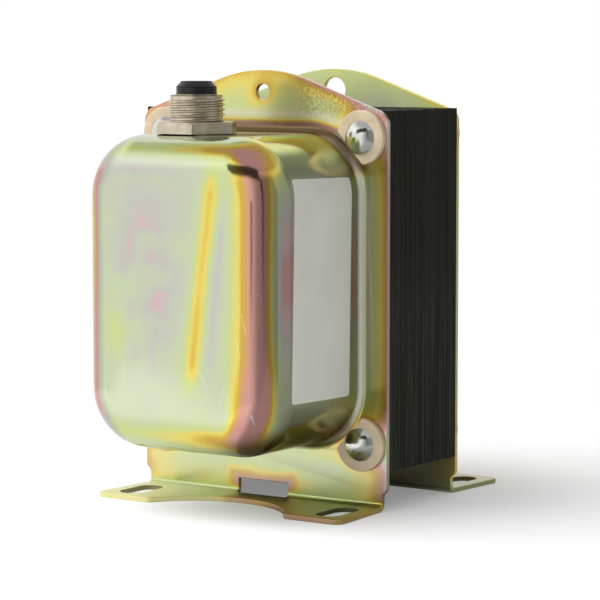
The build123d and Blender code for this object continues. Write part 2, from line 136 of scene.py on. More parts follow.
# Colours of marks, of the pieces inside the covers and of the stage
DUST = (0.034, 0.034, 0.027)
ZINC = (0.74, 0.75, 0.72)
HAZY_ZINC = (0.60, 0.62, 0.58)
ZINC_PIT = (0.20, 0.20, 0.19)
NYLON_SPECK = (0.30, 0.22, 0.13)
NICKEL_SPECK = (0.24, 0.20, 0.15)
LABEL_RUB = (0.56, 0.56, 0.51)
COPPER = (0.55, 0.22, 0.09)
DARK_COPPER = (0.20, 0.06, 0.02)
PAPER = (0.55, 0.44, 0.26)
TINNED_BRASS = (0.62, 0.58, 0.50)
BOBBIN = (0.75, 0.73, 0.66)
CASE_BLACK = (0.02, 0.02, 0.02)
BUSHING_BLACK = (0.018, 0.018, 0.018)
FLOOR_PALE = (0.95, 0.95, 0.95)
FLOOR_CLOUD = (0.93, 0.93, 0.93)
FLOOR_DULL = (0.06, 0.06, 0.06, 1.0)
WHITE = (1.0, 1.0, 1.0, 1.0)

# The side of the room that is shaded to shiny surfaces, and the point of the floor that it runs out from
SHADE_TILT = 0.09
SHADE_START = -0.03
SHADE_FULL = 0.42
SHADE_FROM = (34.0, 4.0)

# Dark bars of the room: bearings of the upright ones, and directions across and to the end of the leaning one
POST_BEARING = math.radians(8.4)
RAIL_BEARING = math.radians(40.4)
BOOM_ACROSS = (-0.578, -0.312, 0.755)
BOOM_END = (0.790, 0.020, 0.613)

# Place and side of each lamp, in metres
KEY_LAMP = (0.405, -0.48, 0.90), 1.00
FILL_LAMP = (0.95, 0.25, 0.45), 0.80

# Width of the camera's frame, in millimetres
FILM_WIDTH = 36.0


def colour_setting(name, description, default):
    """Colour that can be set in the sidebar."""
    return FloatVectorProperty(name=name, description=description, subtype="COLOR", default=default)


def length_setting(name, description, default):
    """Length in metres that can be set in the sidebar."""
    return FloatProperty(name=name, description=description, default=default, precision=6, unit="LENGTH")


def angle_setting(name, description, degrees):
    """Angle that can be set in the sidebar."""
    return FloatProperty(name=name, description=description, default=math.radians(degrees), subtype="ANGLE")


class CoverSettings(PropertyGroup):
    """The drawn covers and the colours of their plating."""

    edge_break: length_setting("Edge break", "Rounding along the cut edges of the sheet", 0.00016)
    halo: FloatProperty(
        name="Edge colour reach", description="Reach of the warm colours along a cut edge, in millimetres",
        default=3.4, min=0.5)
    gloss: FloatProperty(
        name="Roughness", description="Roughness of the plating where it isn't worn",
        default=0.13, min=0.0, max=1.0, subtype="FACTOR")
    lilac: colour_setting("Lilac", "Thinnest colour of the plating", (0.60, 0.60, 0.535))
    mint: colour_setting("Mint", "Pale green of the flat faces", (0.62, 0.68, 0.475))
    lime: colour_setting("Lime", "Yellow green around the pale fields", (0.66, 0.74, 0.31))
    yellow: colour_setting("Yellow", "Yellow of the streaks", (0.90, 0.73, 0.16))
    gold: colour_setting("Gold", "Gold of the bands", (0.72, 0.47, 0.07))
    salmon: colour_setting("Salmon", "Orange pink beside the cut edges", (0.72, 0.37, 0.24))
    rose: colour_setting("Rose", "Deep rose of the bends", (0.66, 0.35, 0.33))
    pink: colour_setting("Pink", "Thickest colour of the plating", (0.72, 0.52, 0.52))
    # Bare is also the colour of the painted highlight line above the bell's rim
    bare_and_highlight: colour_setting("Bare", "Thin plating on cut edges", (0.82, 0.73, 0.58))
    # Worn zinc is also painted as highlight: the bell's right root, the flange beside it and the low plate
    worn_and_highlight: colour_setting("Worn", "Bright zinc of rubs and scratches", (0.86, 0.85, 0.78))
    # Bronze is the colour of painted shade: under the bell, in hollows and slots, on its walls, flange and
    # feet
    shade_bronze: colour_setting("Bronze", "Dark stain of bends and hollows", (0.16, 0.11, 0.045))


class CoreSettings(PropertyGroup):
    """The stack of E and I laminations."""

    sheets: IntProperty(name="Sheets", description="Laminations in the stack", default=54, min=3)
    turned: IntProperty(
        name="Turned together", description="Sheets that are turned over as one", default=3, min=1)
    air: length_setting("Gap", "Gap between two sheets", 0.00003)
    stray: length_setting("Stray", "How far a sheet may stand out of line", 0.00003)
    seed: IntProperty(name="Seed", description="Seed of the stray", default=7)
    line: length_setting("Line", "Spacing of the lines on the core", 0.0005)
    varnish: colour_setting("Varnish", "Colour of the core varnish", (0.0115, 0.012, 0.008))
    sheen: colour_setting("Sheen", "Colour of the varnish on the edges of the sheets", (0.036, 0.0375, 0.028))


class FastenerSettings(PropertyGroup):
    """Rivets and their insulating washers."""

    shank: length_setting("Shank radius", "Radius of a rivet", 0.00235)
    head: length_setting("Head radius", "Radius of a rivet head", 0.0037)
    rise: length_setting("Head height", "Height of a rivet head", 0.0019)
    washer: length_setting("Washer radius", "Radius of a washer", WASHER_R * MM)
    hub: length_setting("Hub radius", "Radius of the shoulder that sits in the sheet", 0.00335)
    flat: length_setting("Flat side", "Middle of a washer to its flat side", 0.0034)
    thick: length_setting("Washer thickness", "Thickness of a washer", 0.0012)
    rim: length_setting("Rim", "Rounding of a washer's rim", 0.00025)
    nylon: colour_setting("Nylon", "Colour of the washers", (0.74, 0.605, 0.42))


class BreakerSettings(PropertyGroup):
    """The push to reset breaker on top of the bell."""

    pitch: length_setting("Pitch", "Pitch of the neck's thread", 0.00104)
    depth: length_setting("Depth", "Depth of the neck's thread", 0.00052)
    bore: length_setting("Bore", "Radius of the neck's bore", 0.00431)
    button: length_setting("Button", "Radius of the button", 0.00425)
    chamfer: length_setting("Chamfer", "Chamfer around the button's top", 0.0011)
    plunger: length_setting("Plunger", "Radius of the plunger under the button", 0.0016)
    dish_radius: length_setting("Dish radius", "Radius of the hollow in the button's top", 0.0024)
    dish: length_setting("Dish", "Depth of the hollow in the button's top", 0.00015)
    nut_edge: length_setting("Nut edge", "Rounding along the nut's edges", 0.00012)
    nickel: colour_setting("Nickel", "Colour of the neck and nut", (0.78, 0.69, 0.53))
    black: colour_setting("Black", "Colour of the button", (0.012, 0.012, 0.0115))


class LabelSettings(PropertyGroup):
    """The bare label on the bell."""

    turn: angle_setting("Turn", "How far the label is off the upright", -1.2)
    corner: length_setting("Corner", "Rounding of the label's corners", 0.0005)
    thin_rim: length_setting("Thin rim", "Width of the label's thinner rim", 0.0004)
    thin: FloatProperty(
        name="Thin", description="Thickness at the rim as a share", default=0.72, min=0.0, max=1.0)
    film: colour_setting("Film", "Colour of the label", (0.735, 0.74, 0.67))


class StageSettings(PropertyGroup):
    """Floor, lamps and camera."""

    floor: length_setting("Floor", "Side of the floor", 0.36)
    key: FloatProperty(name="Key lamp", description="Power of the large lamp", default=13.0, unit="POWER")
    fill: FloatProperty(name="Fill lamp", description="Power of the lamp in front", default=2.0, unit="POWER")
    around: FloatProperty(name="Around", description="Light from all sides", default=0.45, min=0.0)
    yaw: angle_setting("Yaw", "Camera's turn from the front", 34.02)
    pitch: angle_setting("Pitch", "Camera's height above the level", 5.6)
    distance: length_setting("Distance", "Camera to object", 0.5823)
    target: FloatVectorProperty(
        name="Target", description="Point that the camera looks at", default=(0.0146, 0.009655, 0.043975),
        subtype="TRANSLATION", unit="LENGTH", precision=5)
    lens: FloatProperty(
        name="Lens", description="Focal length on a 36 mm frame", default=163.1, unit="CAMERA")


def two_terms(operation):
    """Method that joins a value to a number or value, and the one for the other order."""
    def forward(self, other):
        return self.math(operation, self, other)

    def backward(self, other):
        return self.math(operation, other, self)

    return forward, backward


class Value:
    """A node's output that takes part in Python expressions."""

    def __init__(self, tree, socket):
        self.tree = tree
        self.socket = socket

    def math(self, operation, *terms):
        return self.tree.add("ShaderNodeMath", {"operation": operation}, dict(enumerate(terms)))

    __add__, __radd__ = two_terms("ADD")
    __sub__, __rsub__ = two_terms("SUBTRACT")
    __mul__, __rmul__ = two_terms("MULTIPLY")
    __truediv__, __rtruediv__ = two_terms("DIVIDE")
    __mod__, __rmod__ = two_terms("FLOORED_MODULO")
    __lt__ = two_terms("LESS_THAN")[0]
    __gt__ = two_terms("GREATER_THAN")[0]
    at_least = two_terms("MAXIMUM")[0]
    at_most = two_terms("MINIMUM")[0]

    def __neg__(self):
        return self.math("MULTIPLY", self, -1.0)

    def __abs__(self):
        return self.math("ABSOLUTE", self)

    def root(self):
        return self.math("SQRT", self)

    def floor(self):
        return self.math("FLOOR", self)

    def ramp(self, low, high):
        """0 below low and 1 above high, smooth between them."""
        return self.tree.add(
            "ShaderNodeMapRange", {"interpolation_type": "SMOOTHSTEP"},
            {"Value": self, "From Min": low, "From Max": high})

    def band(self, start, full, last, end):
        """1 from full to last, smooth to 0 at start and end."""
        return self.ramp(start, full) * (1.0 - self.ramp(last, end))

    def hill(self, middle, width):
        """1 at the middle, falling off over the width on both sides."""
        off = (self - middle) / width
        return self.math("EXPONENT", -(off * off))

    def fade(self, reach):
        """1 at zero, falling off over the reach."""
        return self.math("EXPONENT", -(self / reach))


class NodeTree:
    """A node tree that is written as expressions."""

    def __init__(self, tree):
        self.tree = tree

    def add(self, kind, settings=None, inputs=None, output=0):
        """Adds a node: settings first, then the values or links of its sockets. Gives one of its outputs."""
        node = self.tree.nodes.new(kind)
        for name, value in (settings or {}).items():
            if name == "stops":
                self.set_stops(node.color_ramp, value)
            else:
                setattr(node, name, value)
        for key, value in (inputs or {}).items():
            socket = self.find(node.inputs, key)
            for item in value if isinstance(value, list) else [value]:
                if isinstance(item, Value):
                    self.tree.links.new(item.socket, socket)
                else:
                    socket.default_value = item
        return Value(self, self.find(node.outputs, output)) if node.outputs else None

    def find(self, sockets, key):
        if isinstance(key, int):
            return sockets[key]
        return next((s for s in sockets if s.identifier == key), None) or sockets[key]

    def set_stops(self, ramp, stops):
        for place, _ in stops[len(ramp.elements):]:
            ramp.elements.new(place)
        for element, (place, colour) in zip(ramp.elements, stops):
            element.position = place
            element.color = (*colour, 1.0)

    def split(self, vector):
        node = self.add("ShaderNodeSeparateXYZ", None, {0: vector}).socket.node
        return [Value(self, output) for output in node.outputs]

    def join(self, x, y, z):
        return self.add("ShaderNodeCombineXYZ", None, {0: x, 1: y, 2: z})

    def dot(self, vector, direction):
        return self.add(
            "ShaderNodeVectorMath", {"operation": "DOT_PRODUCT"}, {0: vector, 1: direction}, "Value")

    def ray(self, kind):
        """1 for rays of a kind and 0 for others."""
        return self.add("ShaderNodeLightPath", None, None, "Is %s Ray" % kind)

    def shiny_ray(self):
        """1 for rays from shiny and clear surfaces."""
        return self.ray("Glossy").at_least(self.ray("Transmission"))


class Finish(NodeTree):
    """A material built around one surface shader."""

    def __init__(self, name):
        self.material = bpy.data.materials.new(name)
        self.material.use_nodes = True
        super().__init__(self.material.node_tree)
        self.tree.nodes.clear()
        self.coords = self.add("ShaderNodeTexCoord", None, None, "Object")

    def place(self):
        """Object coordinates in millimetres."""
        scaled = self.add("ShaderNodeVectorMath", {"operation": "SCALE"}, {0: self.coords, "Scale": 1 / MM})
        return self.split(scaled)

    def noise(self, size, detail=2.0, stretch=(1.0, 1.0, 1.0), shift=0.0):
        """Noise about zero whose features have a size in millimetres."""
        mapped = self.add(
            "ShaderNodeMapping", None,
            {"Vector": self.coords, "Location": (shift, shift, shift), "Scale": stretch})
        value = self.add(
            "ShaderNodeTexNoise", None, {"Vector": mapped, "Scale": 1 / (size * MM), "Detail": detail})
        return value - 0.5

    def specks(self, size, share):
        """1 inside small scattered dots."""
        away = self.add(
            "ShaderNodeTexVoronoi", None, {"Vector": self.coords, "Scale": 1 / (size * MM)}, "Distance")
        return 1.0 - away.ramp(share * 0.6, share)

    def mix(self, share, first, second):
        return self.add(
            "ShaderNodeMix", {"data_type": "RGBA"},
            {"Factor_Float": share, "A_Color": self.colour(first), "B_Color": self.colour(second)},
            "Result_Color")

    def colour(self, value):
        return value if isinstance(value, Value) else (*value, 1.0)

    def bump(self, height, strength, distance):
        return self.add(
            "ShaderNodeBump", None, {"Height": height, "Strength": strength, "Distance": distance}, "Normal")

    def surface(self, **sockets):
        """The surface shader, its sockets given by their names with _ for a blank."""
        inputs = {}
        for name, value in sockets.items():
            words = [word if word == "IOR" else word.capitalize() for word in name.split("_")]
            key = " ".join(words)
            inputs[key] = self.colour(value) if key == "Base Color" else value
        shader = self.add("ShaderNodeBsdfPrincipled", None, inputs)
        self.add("ShaderNodeOutputMaterial", None, {"Surface": shader})
        return self.material


def longer(first, second):
    """Length of the diagonal of two lengths."""
    return (first * first + second * second).root()


def one_way(share):
    """Square of a share of a direction, and 0 for the opposite one."""
    return share.at_least(0.0) * share


def cut_edge_distance(x, y, z):
    """Millimetres to the nearest outer edge and to the nearest opening of a cover's plate or foot."""
    out = abs(x)
    across = abs(y)
    ear_z = COVER_HIGH.z - EAR_R
    meet_y = EAR_R * math.sin(EAR_SLOPE)
    meet_z = ear_z + EAR_R * math.cos(EAR_SLOPE)
    shoulder = (meet_y - across) * math.sin(EAR_SLOPE) + (meet_z - z) * math.cos(EAR_SLOPE)
    crown = EAR_R - longer(y, (z - ear_z).at_least(0.0))
    on_crown = across < meet_y
    top = crown * on_crown + shoulder * (1.0 - on_crown)
    front = x > 0.0
    hole = longer(y, z - EAR_HOLE_Z) - REAR_EAR_HOLE_R + (REAR_EAR_HOLE_R - FRONT_EAR_HOLE_R) * front
    window = (across - WINDOW_HALF).at_least(z - WINDOW_HIGH)
    plate = (CORE_WIDTH / 2 - across).at_most(top)
    plate_hole = hole.at_most(window)

    slot = longer((abs(out - SLOT_X) - SLOT_RUN).at_least(0.0), across - SLOT_Y) - SLOT_R
    arc = longer(out - ARC_X, y) - ARC_R
    gap = (across - WINDOW_HALF).at_least(out - WINDOW_OUT)
    foot = (TOE_X - out).at_most(CORE_WIDTH / 2 - across).at_most(arc)
    foot_hole = slot.at_most(gap)
    low = z < FOOT_HIGH
    outer = foot * low + plate * (1.0 - low)
    inner = foot_hole * low + plate_hole * (1.0 - low)
    return outer.at_least(0.0), inner.at_least(0.0)


def bell_gap(y, z):
    """Distance outside the outline of a bell, in millimetres."""
    over_y = (abs(y) - BELL_HALF_Y + BELL_CORNER_R).at_least(0.0)
    over_z = (abs(z - CORE_Z) - BELL_HALF_Z + BELL_CORNER_R).at_least(0.0)
    return longer(over_y, over_z) - BELL_CORNER_R


class Spot:
    """Where a point of a cover lies, in millimetres, how it faces and what the plating's clouds are there."""

    def __init__(self, finish):
        x, y, z = finish.place()
        facing = finish.split(finish.add("ShaderNodeTexCoord", None, None, "Normal"))
        flatness = abs(facing[0]).at_most(1.0)
        self.y, self.z = y, z
        self.facing = facing
        self.lean = flatness.math("ARCCOSINE", flatness) * (180 / math.pi)
        self.front = x > 0.0
        self.out = abs(x) - PLATE_FACE
        self.outer, self.inner = cut_edge_distance(x, y, z)
        self.gap = bell_gap(y, z)

        above_foot = z.ramp(6.0, 9.0)
        self.on_bell = self.out.ramp(0.6, 3.0) * above_foot
        self.on_plate = 1.0 - self.on_bell
        self.root = self.out.band(0.08, 0.25, 1.7, 2.3) * above_foot
        self.rim = self.front * self.on_plate * z.ramp(70.0, 74.0)
        self.beside_bell = z.band(16.0, 24.0, 72.0, 80.0)
        self.ear = z.ramp(78.0, 82.0)
        self.apron = 1.0 - z.ramp(12.0, 18.0)
        self.foot = 1.0 - z.ramp(1.15, 1.3)
        self.foot_top = self.foot * facing[2].ramp(0.5, 0.9)
        self.foot_cut = self.foot * (1.0 - abs(facing[2]).ramp(0.2, 0.6))
        self.in_slot = 1.0 - self.inner.ramp(0.2, 0.4)
        # Painted highlight: the right side of the bell's root fillet and a line on the flange beside the bell
        side_root = self.root * facing[1].band(0.15, 0.4, 0.75, 0.95)
        side_flange = self.front * self.on_plate * z.band(22.0, 30.0, 66.0, 72.0) * (y > 0.0)
        self.glint = side_root + 0.4 * side_flange * self.gap.hill(2.2, 0.9)

        self.broad = finish.noise(26.0, 2.0, (1.0, 1.0, 0.45))
        self.middle = finish.noise(7.0, 3.0, (1.0, 1.0, 0.6), 0.3)
        self.mottle = finish.noise(8.0, 2.0, (1.0, 1.0, 0.8), 0.55)
        self.fine = finish.noise(1.1, 2.0, (1.0, 1.0, 0.5), 0.7)
        self.sand = finish.noise(0.45, 2.0, shift=0.4)


def plate_film(spot, reach):
    """Film on a cover's plate and foot: pale in the field, warm along cut edges and around the rivets."""
    y, z, outer = spot.y, spot.z, spot.outer
    field = 0.16 + 0.07 * spot.front - 0.05 * spot.beside_bell + 0.26 * spot.broad + 0.14 * spot.middle
    upright = z.ramp(1.4, 3.0)
    low = upright * (1.0 - z.ramp(14.0, 18.0))
    edge_reach = reach * (1.0 - 0.35 * spot.beside_bell) * (1.0 + 1.3 * spot.broad)
    hole_reach = 2.5 * (1.0 + 1.4 * spot.middle)
    rivet = longer(abs(y) - RIVET_Y, abs(z - CORE_Z) - RIVET_Z) - WASHER_R
    warm = (0.10 + 0.20 * upright + 0.08 * low) * outer.fade(edge_reach)
    warm = warm + (0.34 * upright + 0.22 * low) * spot.inner.fade(hole_reach)
    warm = warm + 0.24 * rivet.at_least(0.0).fade(2.0)
    right_edge = (0.30 * upright + 0.06 * low) * outer.fade(0.9 + low) * y.ramp(2.0, 16.0)
    toe_edge = 0.30 * (1.0 - upright) * outer.fade(1.6) * y.ramp(-8.0, -2.0)
    ear_field = 0.08 * z.ramp(80.0, 83.0) * y.hill(1.0, 7.0)
    warm = warm + right_edge + toe_edge + 0.05 * low - ear_field
    return field + (0.40 + 0.60 * spot.front) * warm - 0.14 * spot.front * z.hill(8.0, 2.2)


def bell_film(spot):
    """Film on a bell: pale on its face, in bands of gold and rose over the rounding to its walls."""
    y, z, lean = spot.y, spot.z, spot.lean
    turned = longer(spot.facing[1], spot.facing[2]).at_least(0.02)
    side = spot.facing[1] / turned
    rise = spot.facing[2] / turned
    right, left, above, below = one_way(side), one_way(-side), one_way(rise), one_way(-rise)

    face = 0.11 + 0.16 * spot.broad + 0.14 * spot.middle + 0.33 * y.ramp(11.3, 18.0)
    low_corner = 0.14 * z.band(14.0, 19.0, 24.0, 36.0) * y.ramp(12.5, 16.5) * (1.0 - lean.ramp(34.0, 60.0))
    right_bands = 0.14 * lean.ramp(0.0, 10.0) + 0.03 * lean.ramp(4.0, 14.0) + 0.21 * lean.ramp(13.0, 25.0)
    right_wall = (0.66 + 0.29 * z.ramp(24.0, 50.0) - 0.10 * z.ramp(52.0, 64.0)) * lean.ramp(34.0, 68.0)
    right_top = 0.16 * z.ramp(62.0, 70.0) * lean.ramp(50.0, 68.0) + 1.2 * above * lean.hill(64.0, 15.0)
    left_bands = (0.44 + 0.17 * z.hill(58.0, 12.0)) * lean.ramp(12.0, 32.0)
    left_bands = left_bands * (1.0 - 0.75 * lean.ramp(62.0, 84.0))
    lower_bands = (0.20 + 0.18 * y.ramp(2.0, 12.0)) * lean.hill(30.0, 18.0)
    upper_bands = (0.22 + 0.24 * y.ramp(-6.0, 12.0)) * lean.hill(44.0, 13.0)
    upper_bands = upper_bands - 0.10 * lean.hill(12.0, 8.0) * (1.0 - y.ramp(-4.0, 4.0))
    film = face + low_corner + right * (right_bands - right_wall + right_top)
    film = film - left * left_bands + below * lower_bands + above * upper_bands

    streak_at = 5.6 + 0.125 * (z - 35.0) + 1.6 * spot.middle
    streak = y.hill(streak_at, 2.3) * z.band(24.0, 34.0, 68.0, 78.0)
    pale = y.hill(streak_at + 3.8, 1.5) * z.band(26.0, 38.0, 58.0, 72.0)
    rosy = spot.mottle.ramp(-0.06, 0.20) * y.hill(-7.0, 8.0) * z.hill(50.0, 20.0)
    lime = y.hill(-14.5, 3.5) * z.hill(39.0, 9.0)
    low_band = z.hill(15.0, 4.0) * y.ramp(-12.0, 6.0)
    film = film + spot.front * (0.35 * streak - 0.13 * pale - 0.26 * rosy + 0.14 * lime) + 0.15 * low_band
    return film.at_most(0.80 + 0.1 * spot.middle)


def sheet_film(spot, reach):
    """Film over a whole cover, thicker in the bell's root and along its upper rim."""
    film = bell_film(spot) * spot.on_bell + plate_film(spot, reach) * spot.on_plate
    film = film + 0.03 * spot.fine + 0.09 * spot.sand * spot.on_plate
    film = film + spot.root * (0.42 * spot.facing[2].ramp(0.05, 0.45) - 0.18 * spot.facing[1].at_least(0.0))
    return film + 0.55 * spot.rim * spot.gap.hill(1.6, 1.1)


def bare_and_highlight_share(spot):
    """How much of the film is missing, on cut edges and toe tops, and a painted highlight above the bell's
    rim.
    """
    plate_cut = spot.lean.ramp(52.0, 70.0) * spot.z.ramp(3.0, 4.0) * spot.outer.at_most(spot.inner).fade(0.3)
    toe_cut = (0.36 - 0.14 * spot.y.ramp(-6.0, 4.0)) * spot.foot_cut * (1.0 - spot.in_slot) * spot.front
    toe_top = 0.6 * (1.0 - spot.front) + 0.22 * spot.front * (1.0 - spot.y.ramp(-12.0, -5.0))
    # The rim term is a painted highlight: a pale line above the bell's rim
    bare_and_highlight = 0.25 * plate_cut + toe_cut + spot.foot_top * toe_top + 0.6 * spot.rim * spot.gap.hill(4.0, 0.8)
    return bare_and_highlight * (1.0 + spot.middle)


def painted_shade_share(spot):
    """Painted shade under the bell, in its root and slots, on its walls, flange and feet, and below the core.
    """
    y, z, facing = spot.y, spot.z, spot.facing
    forward = facing[0].ramp(0.5, 0.9)
    # Painted shade on the flange beside the bell, under the bell, in its root and on its walls
    flange = 0.42 * spot.beside_bell * (1.0 - spot.out.ramp(0.1, 0.5))
    # A darker speckled patch on the front ear, right of its hole
    ear_speckle = y.ramp(5.0, 13.0) * z.ramp(82.0, 85.0) * (0.30 + 1.6 * spot.sand)
    under = spot.on_bell * (-facing[2]).ramp(0.35, 0.75) * y.ramp(6.0, 16.0)
    in_root = 0.55 * facing[2].ramp(0.2, 0.6) + 0.6 * (-facing[2]).ramp(0.3, 0.6)
    # Painted shade on the front foot's right half, in the slots and on the rear plate below the core
    foot_top = spot.foot_top * (0.68 - 0.24 * y.ramp(12.0, 26.0)) * y.ramp(-7.5, -3.0)
    walls = spot.on_bell * (0.22 * (-facing[1]).ramp(0.1, 0.3) + 0.28 * facing[1].ramp(0.75, 0.92))
    behind_core = 0.75 * forward * (1.0 - z.ramp(9.0, 12.0))
    painted_shade = 0.9 * under + 0.8 * spot.foot_cut * spot.in_slot + spot.root * in_root
    painted_shade = painted_shade + 0.8 * spot.rim * spot.gap.hill(1.4, 1.2)
    painted_shade = painted_shade + spot.front * (forward * (flange + ear_speckle.at_least(0.0)) + foot_top + walls)
    painted_shade = painted_shade + (1.0 - spot.front) * (behind_core + 0.5 * spot.foot_cut)
    return painted_shade.at_most(1.0)


def scratch(y, z, start, end, width):
    """1 along a short straight scratch between two points of a flat face."""
    run = (end[0] - start[0], end[1] - start[1])
    square = run[0] ** 2 + run[1] ** 2
    along = (y - start[0]) * (run[0] / square) + (z - start[1]) * (run[1] / square)
    along = along.at_least(0.0).at_most(1.0)
    away = longer(y - start[0] - along * run[0], z - start[1] - along * run[1])
    return 1.0 - away.ramp(width * 0.4, width)


def scuffs(finish, spot):
    """1 in worn dots and in the scratches of the front bell, each from (y, z) to (y, z) with a width."""
    marks = finish.specks(5.0, 0.045) * finish.noise(12.0).ramp(0.0, 0.2)
    for start, end, width in (
            ((13.6, 22.0), (14.4, 27.2), 0.22), ((12.2, 25.0), (13.0, 28.5), 0.14),
            ((17.6, 44.0), (18.4, 40.5), 0.16), ((16.2, 38.5), (17.1, 36.0), 0.12),
            ((6.8, 32.0), (8.6, 29.0), 0.12), ((19.4, 23.5), (19.8, 21.6), 0.3)):
        marks = marks.at_least(scratch(spot.y, spot.z, start, end, width) * spot.front * (0.55 + spot.fine))
    return marks


def plated_sheet(settings):
    """Zinc under a chromate film, coloured by its thickness, with painted shade and painted highlights mixed
    in.
    """
    finish = Finish("plated_sheet")
    spot = Spot(finish)
    y, z, front = spot.y, spot.z, spot.front
    marks = scuffs(finish, spot)
    stops = [
        (0.0, settings.lilac), (0.14, settings.mint), (0.30, settings.lime), (0.43, settings.yellow),
        (0.55, settings.gold), (0.67, settings.salmon), (0.82, settings.rose), (0.91, settings.pink),
        (1.0, settings.lilac)]
    film = sheet_film(spot, settings.halo)
    colour = finish.add("ShaderNodeValToRGB", {"stops": stops}, {0: film % 1.0}, "Color")
    colour = finish.mix(bare_and_highlight_share(spot), colour, settings.bare_and_highlight)
    # Painted highlight in bright zinc: the glint lines and the low plate above the foot
    painted_highlight = 0.75 * spot.glint + 0.2 * front * spot.on_plate * z.ramp(2.0, 4.0) * spot.apron
    colour = finish.mix(painted_highlight, colour, settings.worn_and_highlight)
    # Bronze mixed in as painted shade under the bell, in hollows and slots, on its walls and on the feet
    colour = finish.mix(painted_shade_share(spot), colour, settings.shade_bronze)
    colour = finish.mix(0.75 * marks, colour, settings.worn_and_highlight)

    coated = spot.on_plate * (spot.ear * (0.7 - 0.4 * front) + spot.apron * (0.7 - 0.65 * front))
    coated = coated + 0.5 * spot.glint.at_most(1.0) + 0.55 * front * spot.foot * (1.0 - y.ramp(-7.0, -2.0))
    matt = spot.on_plate * (0.08 + 0.05 * spot.ear + 0.04 * spot.apron + 0.2 * spot.foot)
    matt = matt + 0.28 * spot.on_bell * (1.0 - spot.out.ramp(6.0, 14.0))
    rough = settings.gloss + matt + 0.08 * spot.broad + 0.06 * spot.fine + 0.25 * marks
    grain = finish.noise(0.35, 2.0, (1.0, 1.0, 0.12), 0.2)
    swell = 0.5 * spot.broad + 0.05 * spot.middle
    normal = finish.bump(swell + 0.0022 * grain - 0.02 * marks, 1.0, 0.35 * MM)
    return finish.surface(
        base_color=colour, metallic=1.0 - coated, roughness=rough.at_least(0.07), normal=normal)


def varnished_core(settings):
    """Black varnish over the edges of steel sheets, with more sheen on the lower half."""
    finish = Finish("varnished_core")
    x, _, z = finish.place()
    ridges = ((x / (settings.line / MM)) % 1.0).hill(0.5, 0.3)
    lines = 0.6 * finish.noise(0.42, 1.0, (1.0, 0.02, 0.02)) + 0.20 * ridges
    runs = finish.noise(9.0, 3.0, (1.0, 1.0, 0.3))
    dust = finish.noise(0.9, 3.0)
    low = 1.0 - z.ramp(40.0, 58.0)
    sheen = (lines + 0.25 * runs).ramp(0.02, 0.3) * (0.35 + 0.75 * low)
    colour = finish.mix(sheen, settings.varnish, settings.sheen)
    colour = finish.mix(dust.ramp(0.12, 0.30) * 0.30, colour, DUST)
    normal = finish.bump(lines + 0.35 * runs, 0.4, 0.10 * MM)
    return finish.surface(
        base_color=colour, roughness=0.56 + 0.14 * runs + 0.16 * dust, normal=normal, specular_IOR_level=0.14)


def bright_zinc():
    """Bright zinc with a few dark pits."""
    finish = Finish("zinc_rivet")
    haze = finish.noise(1.4, 3.0)
    pits = finish.specks(1.7, 0.10)
    colour = finish.mix(haze.ramp(0.0, 0.3) * 0.4, ZINC, HAZY_ZINC)
    colour = finish.mix(pits * 0.6, colour, ZINC_PIT)
    normal = finish.bump(haze - 0.4 * pits, 0.35, 0.12 * MM)
    return finish.surface(base_color=colour, metallic=1.0, roughness=0.13 + 0.10 * haze, normal=normal)


def darker(colour, share):
    """Colour brought down to a share of its brightness."""
    return tuple(channel * share for channel in colour)


def tan_nylon(settings):
    """Unfilled nylon with a faint moulded grain."""
    finish = Finish("tan_nylon")
    cloud = finish.noise(3.5, 3.0)
    grain = finish.noise(0.25, 2.0)
    dark = darker(settings.nylon, 0.80)
    colour = finish.mix(cloud.ramp(-0.2, 0.25), dark, settings.nylon)
    colour = finish.mix(finish.specks(2.2, 0.07) * 0.5, colour, NYLON_SPECK)
    return finish.surface(
        base_color=colour, roughness=0.52 + 0.2 * cloud, normal=finish.bump(grain, 0.25, 0.05 * MM),
        subsurface_weight=0.08, subsurface_radius=(0.0012, 0.0008, 0.0004), subsurface_scale=1.0)


def satin_nickel(settings):
    """Nickel over turned brass."""
    finish = Finish("nickel")
    turned = finish.noise(0.30, 2.0, (0.05, 0.05, 1.0))
    haze = finish.noise(2.2, 3.0)
    dark = darker(settings.nickel, 0.72)
    colour = finish.mix((haze + 0.4 * turned).ramp(-0.2, 0.25), dark, settings.nickel)
    colour = finish.mix(finish.specks(1.9, 0.08) * 0.5, colour, NICKEL_SPECK)
    return finish.surface(
        base_color=colour, metallic=1.0, roughness=0.32 + 0.12 * haze,
        normal=finish.bump(turned + 0.4 * haze, 0.3, 0.06 * MM))


def black_plastic(name, colour, roughness, grain_size):
    """Black moulding with handling haze."""
    finish = Finish(name)
    haze = finish.noise(2.6, 3.0)
    grain = finish.noise(grain_size, 2.0)
    pale = tuple(channel + 0.008 for channel in colour)
    base = finish.mix(haze.ramp(0.0, 0.3) * 0.7, colour, pale)
    return finish.surface(
        base_color=base, roughness=roughness + 0.18 * haze, normal=finish.bump(grain, 0.3, 0.05 * MM),
        specular_IOR_level=0.34)


def label_film(settings):
    """Matt grey film with a soft sheen and faint rubs."""
    finish = Finish("label_film")
    cloud = finish.noise(14.0, 2.0)
    fibre = finish.noise(0.5, 2.0, (1.0, 1.0, 0.25))
    rub = finish.noise(2.4, 3.0, (0.3, 1.0, 1.0))
    dark = darker(settings.film, 0.90)
    colour = finish.mix((cloud + 0.3 * fibre).ramp(-0.25, 0.25), dark, settings.film)
    colour = finish.mix(rub.ramp(0.16, 0.32) * 0.25, colour, LABEL_RUB)
    normal = finish.bump(fibre + 0.6 * cloud, 0.18, 0.05 * MM)
    return finish.surface(base_color=colour, roughness=0.46 + 0.12 * rub, normal=normal)


